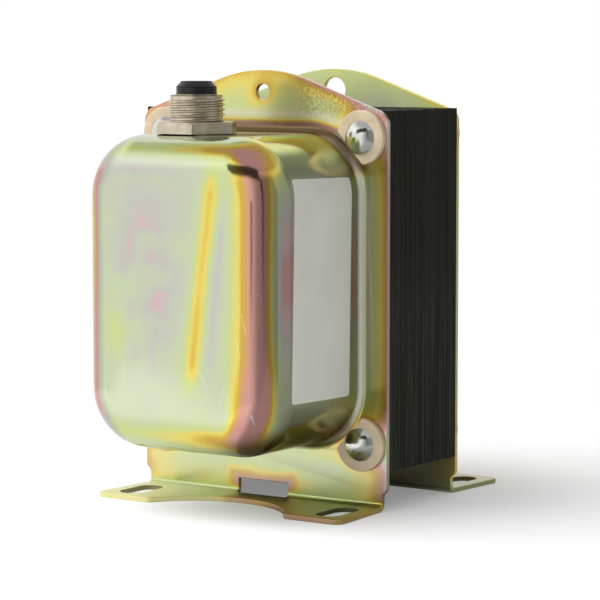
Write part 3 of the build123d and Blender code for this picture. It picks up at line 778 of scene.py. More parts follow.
def wound_wire():
    """Enamelled copper wire lying in turns around the coil."""
    finish = Finish("magnet_wire")
    wire = 0.55
    groove = ((finish.place()[1] / wire) % 1.0).hill(0.5, 0.30)
    tone = finish.noise(3.0, 2.0)
    colour = finish.mix(groove * 0.8 + 0.3 * tone, DARK_COPPER, COPPER)
    normal = finish.bump(groove, 0.8, 0.2 * MM)
    return finish.surface(base_color=colour, metallic=0.7, roughness=0.33 + 0.1 * tone, normal=normal)


def plain_stock(name, colour, roughness, size, metallic=0.0):
    """Clouded stock for the pieces inside the covers."""
    finish = Finish(name)
    cloud = finish.noise(size, 3.0)
    grain = finish.noise(size * 0.08, 2.0, (1.0, 0.3, 1.0))
    dark = darker(colour, 0.75)
    base = finish.mix((cloud + 0.4 * grain).ramp(-0.25, 0.25), dark, colour)
    return finish.surface(
        base_color=base, metallic=metallic, roughness=roughness + 0.15 * cloud,
        normal=finish.bump(grain, 0.3, 0.06 * MM))


def new_object(name, data):
    """Object in the scene that shows a mesh, a lamp or a camera."""
    made = bpy.data.objects.new(name, data)
    bpy.context.scene.collection.objects.link(made)
    return made


def new_mesh(name, points, faces):
    """Mesh from points in metres and faces."""
    mesh = bpy.data.meshes.new(name)
    mesh.from_pydata(points, [], faces)
    return mesh


def finish_piece(name, mesh, body, slot, *nodes):
    """Puts a finished mesh in the scene under its body's empty and hides the nodes it takes the place of."""
    piece = new_object(name, mesh)
    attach(piece, body)
    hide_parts(*nodes)


def edge_broken(node, width, spared):
    """Copy of a node with its sharp edges rounded, except spared ones, and its own normals elsewhere."""
    source = NODES[node].data
    points = [vertex.co.copy() for vertex in source.vertices]
    faces = [tuple(face.vertices) for face in source.polygons]
    corner_normals = [corner.vector.copy() for corner in source.corner_normals]
    starts = [face.loop_start for face in source.polygons]
    lookup = BVHTree.FromPolygons(points, faces)

    def own_normal(place, wanted):
        """The node's normal at its nearest point that faces about the wanted way."""
        nearest, normal = math.inf, wanted.copy()
        for spot, flat, index, away in lookup.find_nearest_range(place, 3 * width):
            if away < nearest and flat.dot(wanted) > SAME_WAY:
                nearest = away
                corners = [points[i] for i in faces[index]]
                bends = corner_normals[starts[index]:starts[index] + len(corners)]
                normal = barycentric_transform(spot, *corners, *bends).normalized()
        return normal

    bm = bmesh.new()
    bm.from_mesh(source)
    bmesh.ops.remove_doubles(bm, verts=bm.verts, dist=WELD)
    bmesh.ops.dissolve_limit(bm, angle_limit=SAME_PLANE, verts=bm.verts, edges=bm.edges)
    sharp = [e for e in bm.edges if e.is_manifold and e.calc_face_angle() > SHARP_EDGE]
    sharp = [e for e in sharp if not spared((e.verts[0].co + e.verts[1].co) / (2 * MM))]
    made = bmesh.ops.bevel(
        bm, geom=sharp, offset=width, offset_type="OFFSET", segments=EDGE_STEPS, profile=0.5, affect="EDGES",
        clamp_overlap=False)
    rounded = set(made["faces"])
    bm.normal_update()

    normals = []
    for vertex in bm.verts:
        plain = [face for face in vertex.link_faces if face not in rounded]
        if plain:
            largest = max(plain, key=lambda face: face.calc_area())
            normals.append(own_normal(vertex.co, largest.normal))
        else:
            total = sum((face.normal for face in vertex.link_faces), Vector())
            normals.append(total.normalized() if total.length else Vector((0, 0, 1)))

    mesh = bpy.data.meshes.new(node + "_mesh")
    bm.to_mesh(mesh)
    bm.free()
    mesh.materials.clear()
    mesh.shade_smooth()
    mesh.normals_split_custom_set_from_vertices(normals)
    return mesh


def rounded_profile(points, radius, closed=False):
    """Profile with its sharp corners rounded, as (along, out, normal along, normal out)."""
    result = []
    count = len(points)
    for i, corner in enumerate(points):
        here = Vector(corner)
        before = here - Vector(points[i - 1]) if closed or i else None
        after = Vector(points[(i + 1) % count]) - here if closed or i < count - 1 else None
        arriving = (before or after).normalized()
        leaving = (after or before).normalized()
        turn = arriving.angle_signed(leaving, 0.0)
        first = Vector((-arriving.y, arriving.x))
        second = Vector((-leaving.y, leaving.x))
        if abs(turn) < GENTLE_TURN:
            result.append((*here, *(first + second).normalized()))
            continue
        room = min(before.length, after.length) * BEND_SHARE
        back = min(radius * math.tan(abs(turn) / 2), room)
        bend = back / math.tan(abs(turn) / 2)
        inward = 1.0 if turn < 0 else -1.0
        hub = here - arriving * back - first * bend * inward
        for k in range(BEND_STEPS + 1):
            share = k / BEND_STEPS
            normal = (first * (1 - share) + second * share).normalized()
            result.append((*(hub + normal * bend * inward), *normal))
    return result


def lathe(name, profile, steps, axis, centre, closed=False):
    """Turned mesh around an axis through the centre, from a profile with normals, in millimetres."""
    points, normals, rings = [], [], []

    def put(along, out, angle):
        first, second = out * math.cos(angle), out * math.sin(angle)
        return Vector((along, first, second)) if axis == "X" else Vector((first, second, along))

    for along, out, normal_along, normal_out in profile:
        ring = []
        on_axis = out < ON_AXIS
        for k in range(1 if on_axis else steps):
            angle = 2 * math.pi * k / steps
            ring.append(len(points))
            points.append((Vector(centre) + put(along, out, angle)) * MM)
            normals.append(put(normal_along, 0.0 if on_axis else normal_out, angle).normalized())
        rings.append(ring)
    faces = []
    following = rings[1:] + rings[:1] if closed else rings[1:]
    for low, high in zip(rings, following):
        for k in range(steps):
            n = (k + 1) % steps
            quad = [low[k % len(low)], low[n % len(low)], high[n % len(high)], high[k % len(high)]]
            faces.append(tuple(dict.fromkeys(quad)))
    mesh = new_mesh(name, points, faces)
    face_out(mesh, normals)
    mesh.shade_smooth()
    mesh.normals_split_custom_set_from_vertices(normals)
    return mesh


def face_out(mesh, normals):
    """Turns the faces so that they agree with the wanted normals."""
    face = max(mesh.polygons, key=lambda f: f.area)
    wanted = sum((normals[i] for i in face.vertices), Vector())
    if face.normal.dot(wanted) < 0:
        mesh.flip_normals()


def geometry_tree(name, sizes):
    """Empty Geometry Nodes tree with named inputs: geometry first, then sizes, then the material."""
    tree = bpy.data.node_groups.new(name, "GeometryNodeTree")
    tree.interface.new_socket("Geometry", in_out="INPUT", socket_type="NodeSocketGeometry")
    for label, value in sizes.items():
        kind = "NodeSocketInt" if isinstance(value, int) else "NodeSocketFloat"
        tree.interface.new_socket(label, in_out="INPUT", socket_type=kind).default_value = value
    tree.interface.new_socket("Material", in_out="INPUT", socket_type="NodeSocketMaterial")
    tree.interface.new_socket("Geometry", in_out="OUTPUT", socket_type="NodeSocketGeometry")
    nodes = NodeTree(tree)
    entry = tree.nodes.new("NodeGroupInput")
    inputs = {socket.name: Value(nodes, socket) for socket in entry.outputs if socket.name}
    return nodes, inputs


def end_tree(nodes, geometry, material):
    """Realizes what the tree made, gives it its material and hands it out."""
    real = nodes.add("GeometryNodeRealizeInstances", None, {0: geometry})
    made = nodes.add("GeometryNodeSetMaterial", None, {0: real, "Material": material})
    nodes.add("NodeGroupOutput", {"is_active_output": True}, {0: made})


def grown(name, seed_mesh, nodes, sizes, material):
    """Plain mesh that a Geometry Nodes tree makes from a seed mesh."""
    seed = new_object(name + "_seed", seed_mesh)
    modifier = seed.modifiers.new(name, "NODES")
    modifier.node_group = nodes.tree
    values = {**sizes, "Material": material}
    for item in nodes.tree.interface.items_tree:
        if item.in_out == "INPUT" and item.name in values:
            modifier[item.identifier] = values[item.name]
    ready = seed.evaluated_get(bpy.context.evaluated_depsgraph_get())
    mesh = bpy.data.meshes.new_from_object(ready)
    mesh.name = name
    seed.modifiers.clear()
    bpy.data.objects.remove(seed)
    return mesh


def punched_sheet(name, outline, holes, thickness):
    """Flat sheet square to X with round holes, in millimetres, standing about X = 0."""
    bm = bmesh.new()
    for ring in [outline, *holes]:
        corners = [bm.verts.new(Vector((-thickness / 2, y, z)) * MM) for y, z in ring]
        for first, second in zip(corners, corners[1:] + corners[:1]):
            bm.edges.new((first, second))
    bmesh.ops.triangle_fill(bm, use_beauty=True, use_dissolve=False, edges=bm.edges)
    made = bmesh.ops.extrude_face_region(bm, geom=list(bm.faces))
    moved = [item for item in made["geom"] if isinstance(item, bmesh.types.BMVert)]
    bmesh.ops.translate(bm, verts=moved, vec=(thickness * MM, 0, 0))
    bmesh.ops.recalc_face_normals(bm, faces=bm.faces)
    mesh = bpy.data.meshes.new(name)
    bm.to_mesh(mesh)
    bm.free()
    return mesh


def round_hole(y, z, radius):
    """Points of a round hole."""
    angles = [2 * math.pi * k / HOLE_STEPS for k in range(HOLE_STEPS)]
    return [(y + radius * math.cos(a), z + radius * math.sin(a)) for a in angles]


def stack_tree(sizes):
    """Tree that lays sheets along X, some of them turned over, each a little out of line."""
    nodes, given = geometry_tree("lamination_stack", sizes)
    start = given["Pitch"] * (given["Sheets"] - 1.0) * -0.5
    line = nodes.add("GeometryNodeMeshLine", {"mode": "OFFSET"}, {
        "Count": given["Sheets"], "Start Location": nodes.join(start, 0.0, 0.0),
        "Offset": nodes.join(given["Pitch"], 0.0, 0.0)})
    stray = nodes.add("FunctionNodeRandomValue", {"data_type": "FLOAT_VECTOR"}, {
        "Min": nodes.join(0.0, -given["Stray"], -given["Stray"]),
        "Max": nodes.join(0.0, given["Stray"], given["Stray"]), "Seed": given["Seed"]}, "Value")
    points = nodes.add("GeometryNodeSetPosition", None, {0: line, "Offset": stray})
    index = nodes.add("GeometryNodeInputIndex")
    turned = (index / given["Turned together"]).floor() % 2.0
    sheets = nodes.add("GeometryNodeInstanceOnPoints", None, {
        "Points": points, "Instance": given["Geometry"], "Rotation": nodes.join(0.0, 0.0, turned * math.pi)})
    end_tree(nodes, sheets, given["Material"])
    return nodes


def corner_tree(name, sizes, both_sides):
    """Tree that puts a fastener at the core's four corners, turned to the middle of the bell's corner."""
    nodes, given = geometry_tree(name, sizes)
    grid = nodes.add("GeometryNodeMeshGrid", None, {
        "Size X": given["Spacing Y"], "Size Y": given["Spacing Z"], "Vertices X": 2, "Vertices Y": 2})
    upright = nodes.add("GeometryNodeTransform", None, {
        0: grid, "Rotation": (math.pi / 2, 0.0, math.pi / 2)})
    _, y, z = nodes.split(nodes.add("GeometryNodeInputPosition"))
    toward = y.math("ARCTAN2", z * -given["Lean Z"], y * -given["Lean Y"])
    placed = nodes.add("GeometryNodeInstanceOnPoints", None, {
        "Points": upright, "Instance": given["Geometry"], "Rotation": nodes.join(toward, 0.0, 0.0)})
    if both_sides:
        behind = nodes.add("GeometryNodeTransform", None, {0: placed, "Rotation": (0.0, 0.0, math.pi)})
        placed = nodes.add("GeometryNodeJoinGeometry", None, {0: [placed, behind]})
    raised = nodes.add("GeometryNodeTransform", None, {
        0: placed, "Translation": nodes.join(0.0, 0.0, given["Height"])})
    end_tree(nodes, raised, given["Material"])
    return nodes


def thread_tree(sizes):
    """Tree that winds a rib with a blunt crest around the neck and fades it out at both ends."""
    nodes, given = geometry_tree("neck_thread", sizes)
    line = nodes.add("GeometryNodeCurvePrimitiveLine", None, {"End": (0.0, 0.0, 1.0)})
    path = nodes.add("GeometryNodeResampleCurve", None, {0: line, "Count": given["Points"]})
    share = nodes.add("GeometryNodeSplineParameter", None, None, "Factor")
    angle = share * given["Turns"] * (2 * math.pi)
    place = nodes.join(
        share.math("COSINE", angle) * given["Root"] + given["X"],
        share.math("SINE", angle) * given["Root"] + given["Y"],
        share * given["Turns"] * given["Pitch"] + given["Start"])
    helix = nodes.add("GeometryNodeSetPosition", None, {0: path, "Position": place})
    level = nodes.add("GeometryNodeSetCurveNormal", {"mode": "Z_UP"}, {0: helix})
    foot = given["Pitch"] * 0.46
    crest = given["Pitch"] * 0.07
    high = given["Depth"]
    sunk = high * -0.3
    rib = nodes.add("GeometryNodeCurvePrimitiveQuadrilateral", {"mode": "POINTS"}, {
        "Point 1": nodes.join(sunk, -foot, 0.0), "Point 2": nodes.join(high, -crest, 0.0),
        "Point 3": nodes.join(high, crest, 0.0), "Point 4": nodes.join(sunk, foot, 0.0)})
    fade = share.band(0.0, 0.06, 0.93, 1.0)
    wound = nodes.add("GeometryNodeCurveToMesh", None, {
        "Curve": level, "Profile Curve": rib, "Scale": fade.at_least(0.05), "Fill Caps": True})
    whole = nodes.add("GeometryNodeJoinGeometry", None, {0: [given["Geometry"], wound]})
    end_tree(nodes, whole, given["Material"])
    return nodes


def d_outline(radius, flat):
    """Round outline with one flat side towards +Y, as (y, z) points."""
    reach = math.acos(flat / radius)
    points = []
    for k in range(WASHER_STEPS + 1):
        angle = reach + (2 * math.pi - 2 * reach) * k / WASHER_STEPS
        points.append((radius * math.cos(angle), radius * math.sin(angle)))
    low, high = points[-1], points[0]
    for k in range(1, CHORD_STEPS):
        share = k / CHORD_STEPS
        points.append((low[0] + (high[0] - low[0]) * share, low[1] + (high[1] - low[1]) * share))
    return points


def washer_mesh(settings):
    """Shouldered washer on the plate's face, its flat side towards +Y, with its rim rounded over."""
    radius, flat, thick = settings.washer / MM, settings.flat / MM, settings.thick / MM
    hub, edge = settings.hub / MM, settings.rim / MM
    bore = settings.shank / MM + SLIP
    end = CORE_FACE + SHOULDER_SHORT
    rings = [(end, hub, hub), (PLATE_FACE, hub, hub), (PLATE_FACE, radius, flat)]
    for k in range(RIM_STEPS + 1):
        angle = math.pi / 2 * k / RIM_STEPS
        drop = edge * (1 - math.cos(angle))
        rings.append((PLATE_FACE + thick - edge + edge * math.sin(angle), radius - drop, flat - drop))
    rings += [(PLATE_FACE + thick, bore, bore), (end, bore, bore)]
    points, faces = [], []
    for along, out, cut in rings:
        if cut < out:
            ring = d_outline(out, cut)
        else:
            ring = [Vector(spot).normalized() * out for spot in d_outline(radius, flat)]
        points += [Vector((along, y, z)) * MM for y, z in ring]
    count = len(points) // len(rings)
    for r in range(len(rings)):
        low, high = r * count, (r + 1) % len(rings) * count
        for k in range(count):
            n = (k + 1) % count
            faces.append((low + k, low + n, high + n, high + k))
    mesh = new_mesh("washer", points, faces)
    tidy_normals(mesh, 30.0)
    return mesh


def rivet_mesh(settings):
    """Rivet along X with a domed head on the washer at each end."""
    seat = PLATE_FACE + settings.thick / MM
    rise, head, shank = settings.rise / MM, settings.head / MM, settings.shank / MM
    ball = (head ** 2 + rise ** 2) / (2 * rise)
    reach = math.asin(head / ball)
    hub = seat + rise - ball
    angles = [reach * k / DOME_STEPS for k in range(DOME_STEPS + 1)]
    half = [(hub + ball * math.cos(a), ball * math.sin(a)) for a in angles] + [(seat, shank)]
    profile = [(-x, r) for x, r in half] + list(reversed(half))
    return lathe("rivet", rounded_profile(profile, radius=0.12), RIVET_STEPS, "X", (0, 0, 0))


def tidy_normals(mesh, angle):
    """Faces outward, smooth except along edges sharper than the angle."""
    bm = bmesh.new()
    bm.from_mesh(mesh)
    bmesh.ops.remove_doubles(bm, verts=bm.verts, dist=FINE_WELD)
    bmesh.ops.recalc_face_normals(bm, faces=bm.faces)
    bm.to_mesh(mesh)
    bm.free()
    mesh.shade_smooth()
    mesh.set_sharp_from_angle(angle=math.radians(angle))


class TRANSFORMER_OT_covers(Operator):
    """Rounds the cut edges of both covers and plates them"""

    bl_idname = "transformer.covers"
    bl_label = "Covers"

    def execute(self, context):
        settings = context.scene.transformer_cover
        plating = plated_sheet(settings)

        def under_washer(spot):
            return math.hypot(abs(spot.y) - RIVET_Y, abs(spot.z - CORE_Z) - RIVET_Z) < WASHER_R

        for node, name in (("front_cover", "front_cover_sheet"), ("rear_cover", "rear_cover_sheet")):
            mesh = edge_broken(node, settings.edge_break, under_washer)
            mesh.materials.append(plating)
            finish_piece(name, mesh, "transformer", "plated_sheet", node)
        return {"FINISHED"}


class TRANSFORMER_OT_core(Operator):
    """Stacks the E and I laminations sheet by sheet"""

    bl_idname = "transformer.core"
    bl_label = "Laminated core"

    def execute(self, context):
        settings = context.scene.transformer_core
        varnish = varnished_core(settings)
        pitch = (CORE_HIGH.x - CORE_LOW.x) / settings.sheets
        thickness = pitch - settings.air / MM
        half_y, half_z = CORE_WIDTH / 2, CORE_HEIGHT / 2
        window = CORE_WIDTH / 2 - YOKE
        leg = TONGUE / 2
        e_outline = [
            (-half_y, -half_z), (window, -half_z), (window, -half_z + YOKE), (-window, -half_z + YOKE),
            (-window, -leg), (window, -leg), (window, leg), (-window, leg),
            (-window, half_z - YOKE), (window, half_z - YOKE), (window, half_z), (-half_y, half_z)]
        i_outline = [(window, -half_z), (half_y, -half_z), (half_y, half_z), (window, half_z)]
        sizes = {
            "Sheets": settings.sheets, "Pitch": pitch * MM, "Turned together": settings.turned,
            "Stray": settings.stray, "Seed": settings.seed}
        tree = stack_tree(sizes)
        for node, outline, side in (("e_laminations", e_outline, -1), ("i_laminations", i_outline, 1)):
            raised = [(y, z + CORE_Z) for y, z in outline]
            holes = [round_hole(side * RIVET_Y, CORE_Z + s * RIVET_Z, RIVET_HOLE_R) for s in (-1, 1)]
            sheet = punched_sheet(node + "_sheet", raised, holes, thickness)
            sizes["Seed"] = settings.seed + (side + 1)
            mesh = grown(node + "_stack", sheet, tree, sizes, varnish)
            finish_piece(node + "_stack", mesh, "transformer", "varnished_core", node)
        return {"FINISHED"}


class TRANSFORMER_OT_fasteners(Operator):
    """Turns the rivets and moulds their insulating washers"""

    bl_idname = "transformer.fasteners"
    bl_label = "Rivets and washers"

    def execute(self, context):
        settings = context.scene.transformer_fasteners
        sizes = {
            "Spacing Y": 2 * RIVET_Y * MM, "Spacing Z": 2 * RIVET_Z * MM, "Height": CORE_Z * MM,
            "Lean Y": (RIVET_Y - BELL_HALF_Y + BELL_CORNER_R) / RIVET_Y,
            "Lean Z": (RIVET_Z - BELL_HALF_Z + BELL_CORNER_R) / RIVET_Z}
        tree = corner_tree("rivets", sizes, False)
        mesh = grown("rivet_set", rivet_mesh(settings), tree, sizes, bright_zinc())
        finish_piece("rivet_set", mesh, "transformer", "zinc_rivet", "core_rivets")
        tree = corner_tree("washers", sizes, True)
        mesh = grown("washer_set", washer_mesh(settings), tree, sizes, tan_nylon(settings))
        finish_piece("washer_set", mesh, "transformer", "tan_nylon", "insulating_washers")
        return {"FINISHED"}


def threaded_neck(settings, nickel):
    """Neck with a flange under the bell and a thread above the nut."""
    flange = (NECK_HIGH.x - NECK_LOW.x) / 2
    outside = flange - NECK_LIP
    root = outside - settings.depth / MM
    bore = settings.bore / MM
    seat = NUT_LOW.z - SHEET
    top = NECK_HIGH.z
    lead, tip = 0.3, 0.1
    ring = [
        (NECK_LOW.z, bore), (NECK_LOW.z, flange), (seat, flange), (seat, outside), (NUT_LOW.z, outside),
        (NUT_LOW.z + lead, root), (top - lead, root), (top, root - tip), (top, bore)]
    profile = rounded_profile(ring, radius=0.12, closed=True)
    core = lathe("neck", profile, TURNED_STEPS, "Z", BREAKER_AXIS, closed=True)
    start = NUT_LOW.z + 2 * lead
    turns = (top - lead - start) / (settings.pitch / MM)
    sizes = {
        "Points": THREAD_POINTS, "Turns": turns, "Pitch": settings.pitch, "Depth": settings.depth,
        "Root": root * MM, "X": BREAKER_AXIS.x * MM, "Y": BREAKER_AXIS.y * MM, "Start": start * MM}
    return grown("threaded_neck", core, thread_tree(sizes), sizes, nickel)


def push_button(settings):
    """Button with a chamfered and slightly dished top, its collar in the case and the plunger below."""
    low, high = (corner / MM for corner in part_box("reset_button"))
    collar = (high.x - low.x) / 2
    collar_high = NECK_LOW.z - BUTTON_TRAVEL - COLLAR_STOP
    collar_low = collar_high - COLLAR_T
    button, plunger, chamfer, dish_r, dish = (size / MM for size in (
        settings.button, settings.plunger, settings.chamfer, settings.dish_radius, settings.dish))
    shape = [
        (low.z, 0), (low.z, plunger), (collar_low, plunger), (collar_low, collar), (collar_high, collar),
        (collar_high, button), (high.z - chamfer, button), (high.z, button - chamfer), (high.z, dish_r),
        (high.z - 0.8 * dish, dish_r / 2), (high.z - dish, 0)]
    mesh = lathe("button", rounded_profile(shape, radius=0.14), TURNED_STEPS, "Z", BREAKER_AXIS)
    mesh.materials.append(black_plastic("black_button", settings.black, 0.34, 0.3))
    return mesh


class TRANSFORMER_OT_breaker(Operator):
    """Threads the breaker's neck and makes its nut and button"""

    bl_idname = "transformer.breaker"
    bl_label = "Reset breaker"

    def execute(self, context):
        settings = context.scene.transformer_breaker
        nickel = satin_nickel(settings)
        neck = threaded_neck(settings, nickel)
        finish_piece("threaded_neck", neck, "transformer", "nickel", "breaker_neck")

        near_seat = NUT_LOW.z + 0.2
        nut = edge_broken("breaker_nut", settings.nut_edge, lambda spot: spot.z < near_seat)
        nut.materials.append(nickel)
        finish_piece("hexagon_nut", nut, "transformer", "nickel", "breaker_nut")
        finish_piece("push_button", push_button(settings), "button", "black_button", "reset_button")
        return {"FINISHED"}


def bell_side(x, z, out):
    """Place across the bell of its right wall, or of a skin that stands out of it, over a point (x, z)."""
    nose = max(x - COVER_HIGH.x + BELL_NOSE_R, 0.0)
    inset = BELL_NOSE_R + out - math.sqrt((BELL_NOSE_R + out) ** 2 - nose ** 2)
    corner = max(abs(z - CORE_Z) - BELL_HALF_Z + BELL_CORNER_R, 0.0)
    return BELL_HALF_Y - BELL_CORNER_R + math.sqrt((BELL_CORNER_R + out - inset) ** 2 - corner ** 2)


def label_spot(settings, across, up, layer):
    """Point of the label: shares of its width and height, and 0 or 1 for its lower or upper side."""
    width, height = LABEL_HIGH.x - LABEL_LOW.x, LABEL_HIGH.z - LABEL_LOW.z
    middle = (LABEL_LOW + LABEL_HIGH) / 2
    corner, thin_rim = settings.corner / MM, settings.thin_rim / MM
    u, v = (across - 0.5) * width, (up - 0.5) * height
    over_u = max(abs(u) - width / 2 + corner, 0)
    over_v = max(abs(v) - height / 2 + corner, 0)
    over = math.hypot(over_u, over_v)
    pull = corner / over if over > corner else 1.0
    u = math.copysign(abs(u) - over_u + over_u * pull, u)
    v = math.copysign(abs(v) - over_v + over_v * pull, v)
    from_rim = min(width / 2 - abs(u), height / 2 - abs(v))
    share = settings.thin + (1 - settings.thin) * min(from_rim / thin_rim, 1.0)
    raised = (LABEL_HIGH.y - BELL_HALF_Y) * share * layer
    cosine, sine = math.cos(settings.turn), math.sin(settings.turn)
    x, z = middle.x + u * cosine + v * sine, middle.z - u * sine + v * cosine
    return Vector((x, bell_side(x, z, raised), z)) * MM


def label_mesh(settings):
    """Thin film that follows the wall of the bell, with rounded corners and a thinner rim."""
    across, up = LABEL_STEPS
    points = [
        label_spot(settings, i / across, j / up, layer)
        for layer in (0.0, 1.0) for j in range(up + 1) for i in range(across + 1)]
    row, sheet = across + 1, (across + 1) * (up + 1)
    faces = []
    for j in range(up):
        for i in range(across):
            a = j * row + i
            faces.append((a, a + 1, a + row + 1, a + row))
            faces.append((sheet + a, sheet + a + row, sheet + a + row + 1, sheet + a + 1))
    rim = list(range(row)) + [j * row + across for j in range(1, up + 1)]
    rim += [up * row + i for i in range(across - 1, -1, -1)] + [j * row for j in range(up - 1, 0, -1)]
    for a, b in zip(rim, rim[1:] + rim[:1]):
        faces.append((a, a + sheet, b + sheet, b))
    mesh = new_mesh("bare_label", points, faces)
    tidy_normals(mesh, 40.0)
    mesh.materials.append(label_film(settings))
    return mesh


class TRANSFORMER_OT_label(Operator):
    """Lays the bare label on the wall of the bell"""

    bl_idname = "transformer.label"
    bl_label = "Label"

    def execute(self, context):
        mesh = label_mesh(context.scene.transformer_label)
        finish_piece("bare_label", mesh, "transformer", "label_film", "label")
        return {"FINISHED"}


def bushing_mesh():
    """Sleeve with a flange outside the rear bell, its rim and its mouth sloped off."""
    bore, sleeve, flange = BUSHING_BORE_R, BUSHING_SLEEVE_R, (BUSHING_HIGH.y - BUSHING_LOW.y) / 2
    outer, inner = BUSHING_LOW.x, BUSHING_HIGH.x
    seat = outer + BUSHING_FLANGE_T
    (rim_along, rim_out), (mouth_along, mouth_out) = BUSHING_RIM, BUSHING_MOUTH
    ring = [
        (inner, bore), (inner, sleeve), (seat, sleeve), (seat, flange), (outer + rim_along, flange),
        (outer, flange - rim_out), (outer, bore + mouth_out), (outer + mouth_along, bore)]
    middle = (BUSHING_LOW + BUSHING_HIGH) / 2
    profile = rounded_profile(list(reversed(ring)), radius=0.3, closed=True)
    return lathe("bushing", profile, TURNED_STEPS, "X", (0, middle.y, middle.z), closed=True)


class TRANSFORMER_OT_bushing(Operator):
    """Turns the lead bushing in the rear bell"""

    bl_idname = "transformer.bushing"
    bl_label = "Lead bushing"

    def execute(self, context):
        mesh = bushing_mesh()
        mesh.materials.append(black_plastic("black_moulding", BUSHING_BLACK, 0.5, 0.35))
        finish_piece("flanged_bushing", mesh, "transformer", "black_moulding", "lead_bushing")
        return {"FINISHED"}


class TRANSFORMER_OT_inside(Operator):
    """Gives the coil and the breaker's inner pieces their finishes"""

    bl_idname = "transformer.inside"
    bl_label = "Inside the covers"

    def execute(self, context):
        wire = wound_wire()
        paper = plain_stock("insulating_paper", PAPER, 0.7, 6.0)
        brass = plain_stock("tinned_brass", TINNED_BRASS, 0.35, 3.0, 1.0)
        finishes = {
            "bobbin": plain_stock("bobbin_plastic", BOBBIN, 0.5, 8.0),
            "primary_winding": wire, "secondary_winding": wire,
            "winding_barrier": paper, "coil_wrap": paper, "core_wedge": paper,
            "breaker_case": black_plastic("breaker_moulding", CASE_BLACK, 0.55, 0.4),
            "breaker_terminals": brass, "breaker_blade": brass}
        for node, finish in finishes.items():
            NODES[node].material_slots[0].material = finish
        return {"FINISHED"}


def shade(x, y):
    """How deep in the shaded side of the room a level direction points."""
    return (y - SHADE_TILT * x).ramp(SHADE_START, SHADE_FULL)


def off_bearing(x, y, bearing):
    """How far a direction is to the side of an upright plane that stands at a bearing from the front."""
    return math.sin(bearing) * x - math.cos(bearing) * y


def strip(across, half, end):
    """1 in a dark bar of the room, from how far off its middle a direction is."""
    return 1.0 - abs(across).ramp(half, end)


def studio_world(around):
    """White to the camera, soft light to matt surfaces, and a room with a shaded side to shiny ones."""
    world = bpy.data.worlds.new("studio")
    world.use_nodes = True
    world.node_tree.nodes.clear()
    nodes = NodeTree(world.node_tree)
    facing = nodes.add("ShaderNodeTexCoord", None, None, "Generated")
    x, y, z = nodes.split(facing)
    beside = x.ramp(0.08, 0.14)
    side_wall = (0.50 + 0.10 * beside) * shade(x, y) + 0.10 * beside * (y - 0.87 * x).ramp(-0.02, 0.06)
    rear_wall = (0.58 + 0.14 * z.ramp(0.2, 0.5)) * (-x).ramp(0.3, 0.6) * y.ramp(-0.15, 0.12)
    walls = side_wall.at_least(rear_wall) * (1.0 - z.ramp(0.55, 0.85))
    ceiling = 0.44 * z.ramp(0.70, 0.79)
    glow = 0.24 * z.hill(0.52, 0.16) * (1.0 - y.ramp(-0.2, 0.5)) * x.ramp(-0.3, 0.3)
    post = strip(off_bearing(x, y, POST_BEARING), 0.035, 0.065) * z.band(-0.12, -0.10, -0.05, -0.03)
    rail = strip(off_bearing(x, y, RAIL_BEARING), 0.03, 0.055) * z.band(-0.118, -0.10, 0.5, 0.6)
    boom = strip(nodes.dot(facing, BOOM_ACROSS), 0.12, 0.21) * nodes.dot(facing, BOOM_END).ramp(0.865, 0.895)
    room = 0.96 + glow - ceiling - walls - (x > 0.0) * (0.80 * post + 0.36 * rail + 1.1 * boom)
    shiny = nodes.shiny_ray()
    camera = nodes.ray("Camera")
    level = around * (1.0 - shiny) + room.at_least(0.05) * shiny
    strength = level * (1.0 - camera) + camera
    light = nodes.add("ShaderNodeBackground", None, {"Color": WHITE, "Strength": strength})
    nodes.add("ShaderNodeOutputWorld", None, {"Surface": light})
    return world


def pale_floor():
    """White floor that keeps its shadow, is plain white farther off and shows painted shade to shiny
    surfaces.
    """
    finish = Finish("pale_floor")
    camera, shiny = finish.ray("Camera"), finish.shiny_ray()
    place = finish.place()
    x, y = place[0] - SHADE_FROM[0], place[1] - SHADE_FROM[1]
    reach = longer(x, y).at_least(1.0)
    shaded = shade(x / reach, y / reach)
    away = finish.add("ShaderNodeVectorMath", {"operation": "LENGTH"}, {0: finish.coords}, "Value") / MM
    # Painted shade seen by shiny surfaces: darker floor near the object and on the room's shaded side
    dim = (0.08 + 0.13 * (1.0 - away.ramp(60.0, 130.0))).at_least(0.66 * shaded)
    cloud = finish.noise(40.0, 2.0)
    pale = finish.mix(cloud.ramp(-0.3, 0.3), FLOOR_CLOUD, FLOOR_PALE)
    matt = finish.add("ShaderNodeBsdfPrincipled", None, {
        "Base Color": pale, "Roughness": 1.0, "Specular IOR Level": 0.0})
    dull = finish.add("ShaderNodeBsdfDiffuse", None, {"Color": FLOOR_DULL})
    white = finish.add("ShaderNodeEmission", None, {"Color": WHITE, "Strength": 1.0})
    matt = finish.add("ShaderNodeMixShader", None, {0: shiny * dim, 1: matt, 2: dull})
    share = 0.22 * camera + 0.10 * shiny * (1.0 - shaded) + 0.78 * camera * away.ramp(80.0, 170.0)
    mixed = finish.add("ShaderNodeMixShader", None, {0: share, 1: matt, 2: white})
    finish.add("ShaderNodeOutputMaterial", None, {"Surface": mixed})
    return finish.material


def aim(item, place, facing):
    """Puts a lamp or a camera at a place and turns it to face a direction."""
    item.location = place
    item.rotation_mode = "QUATERNION"
    item.rotation_quaternion = facing.to_track_quat("-Z", "Y")


def add_lamp(name, place, side, target, power):
    """Square soft lamp aimed at the object, unseen in its shiny surfaces."""
    light = bpy.data.lights.new(name, "AREA")
    light.size = side
    light.energy = power
    lamp = new_object(name, light)
    aim(lamp, place, target - Vector(place))
    lamp.visible_glossy = False


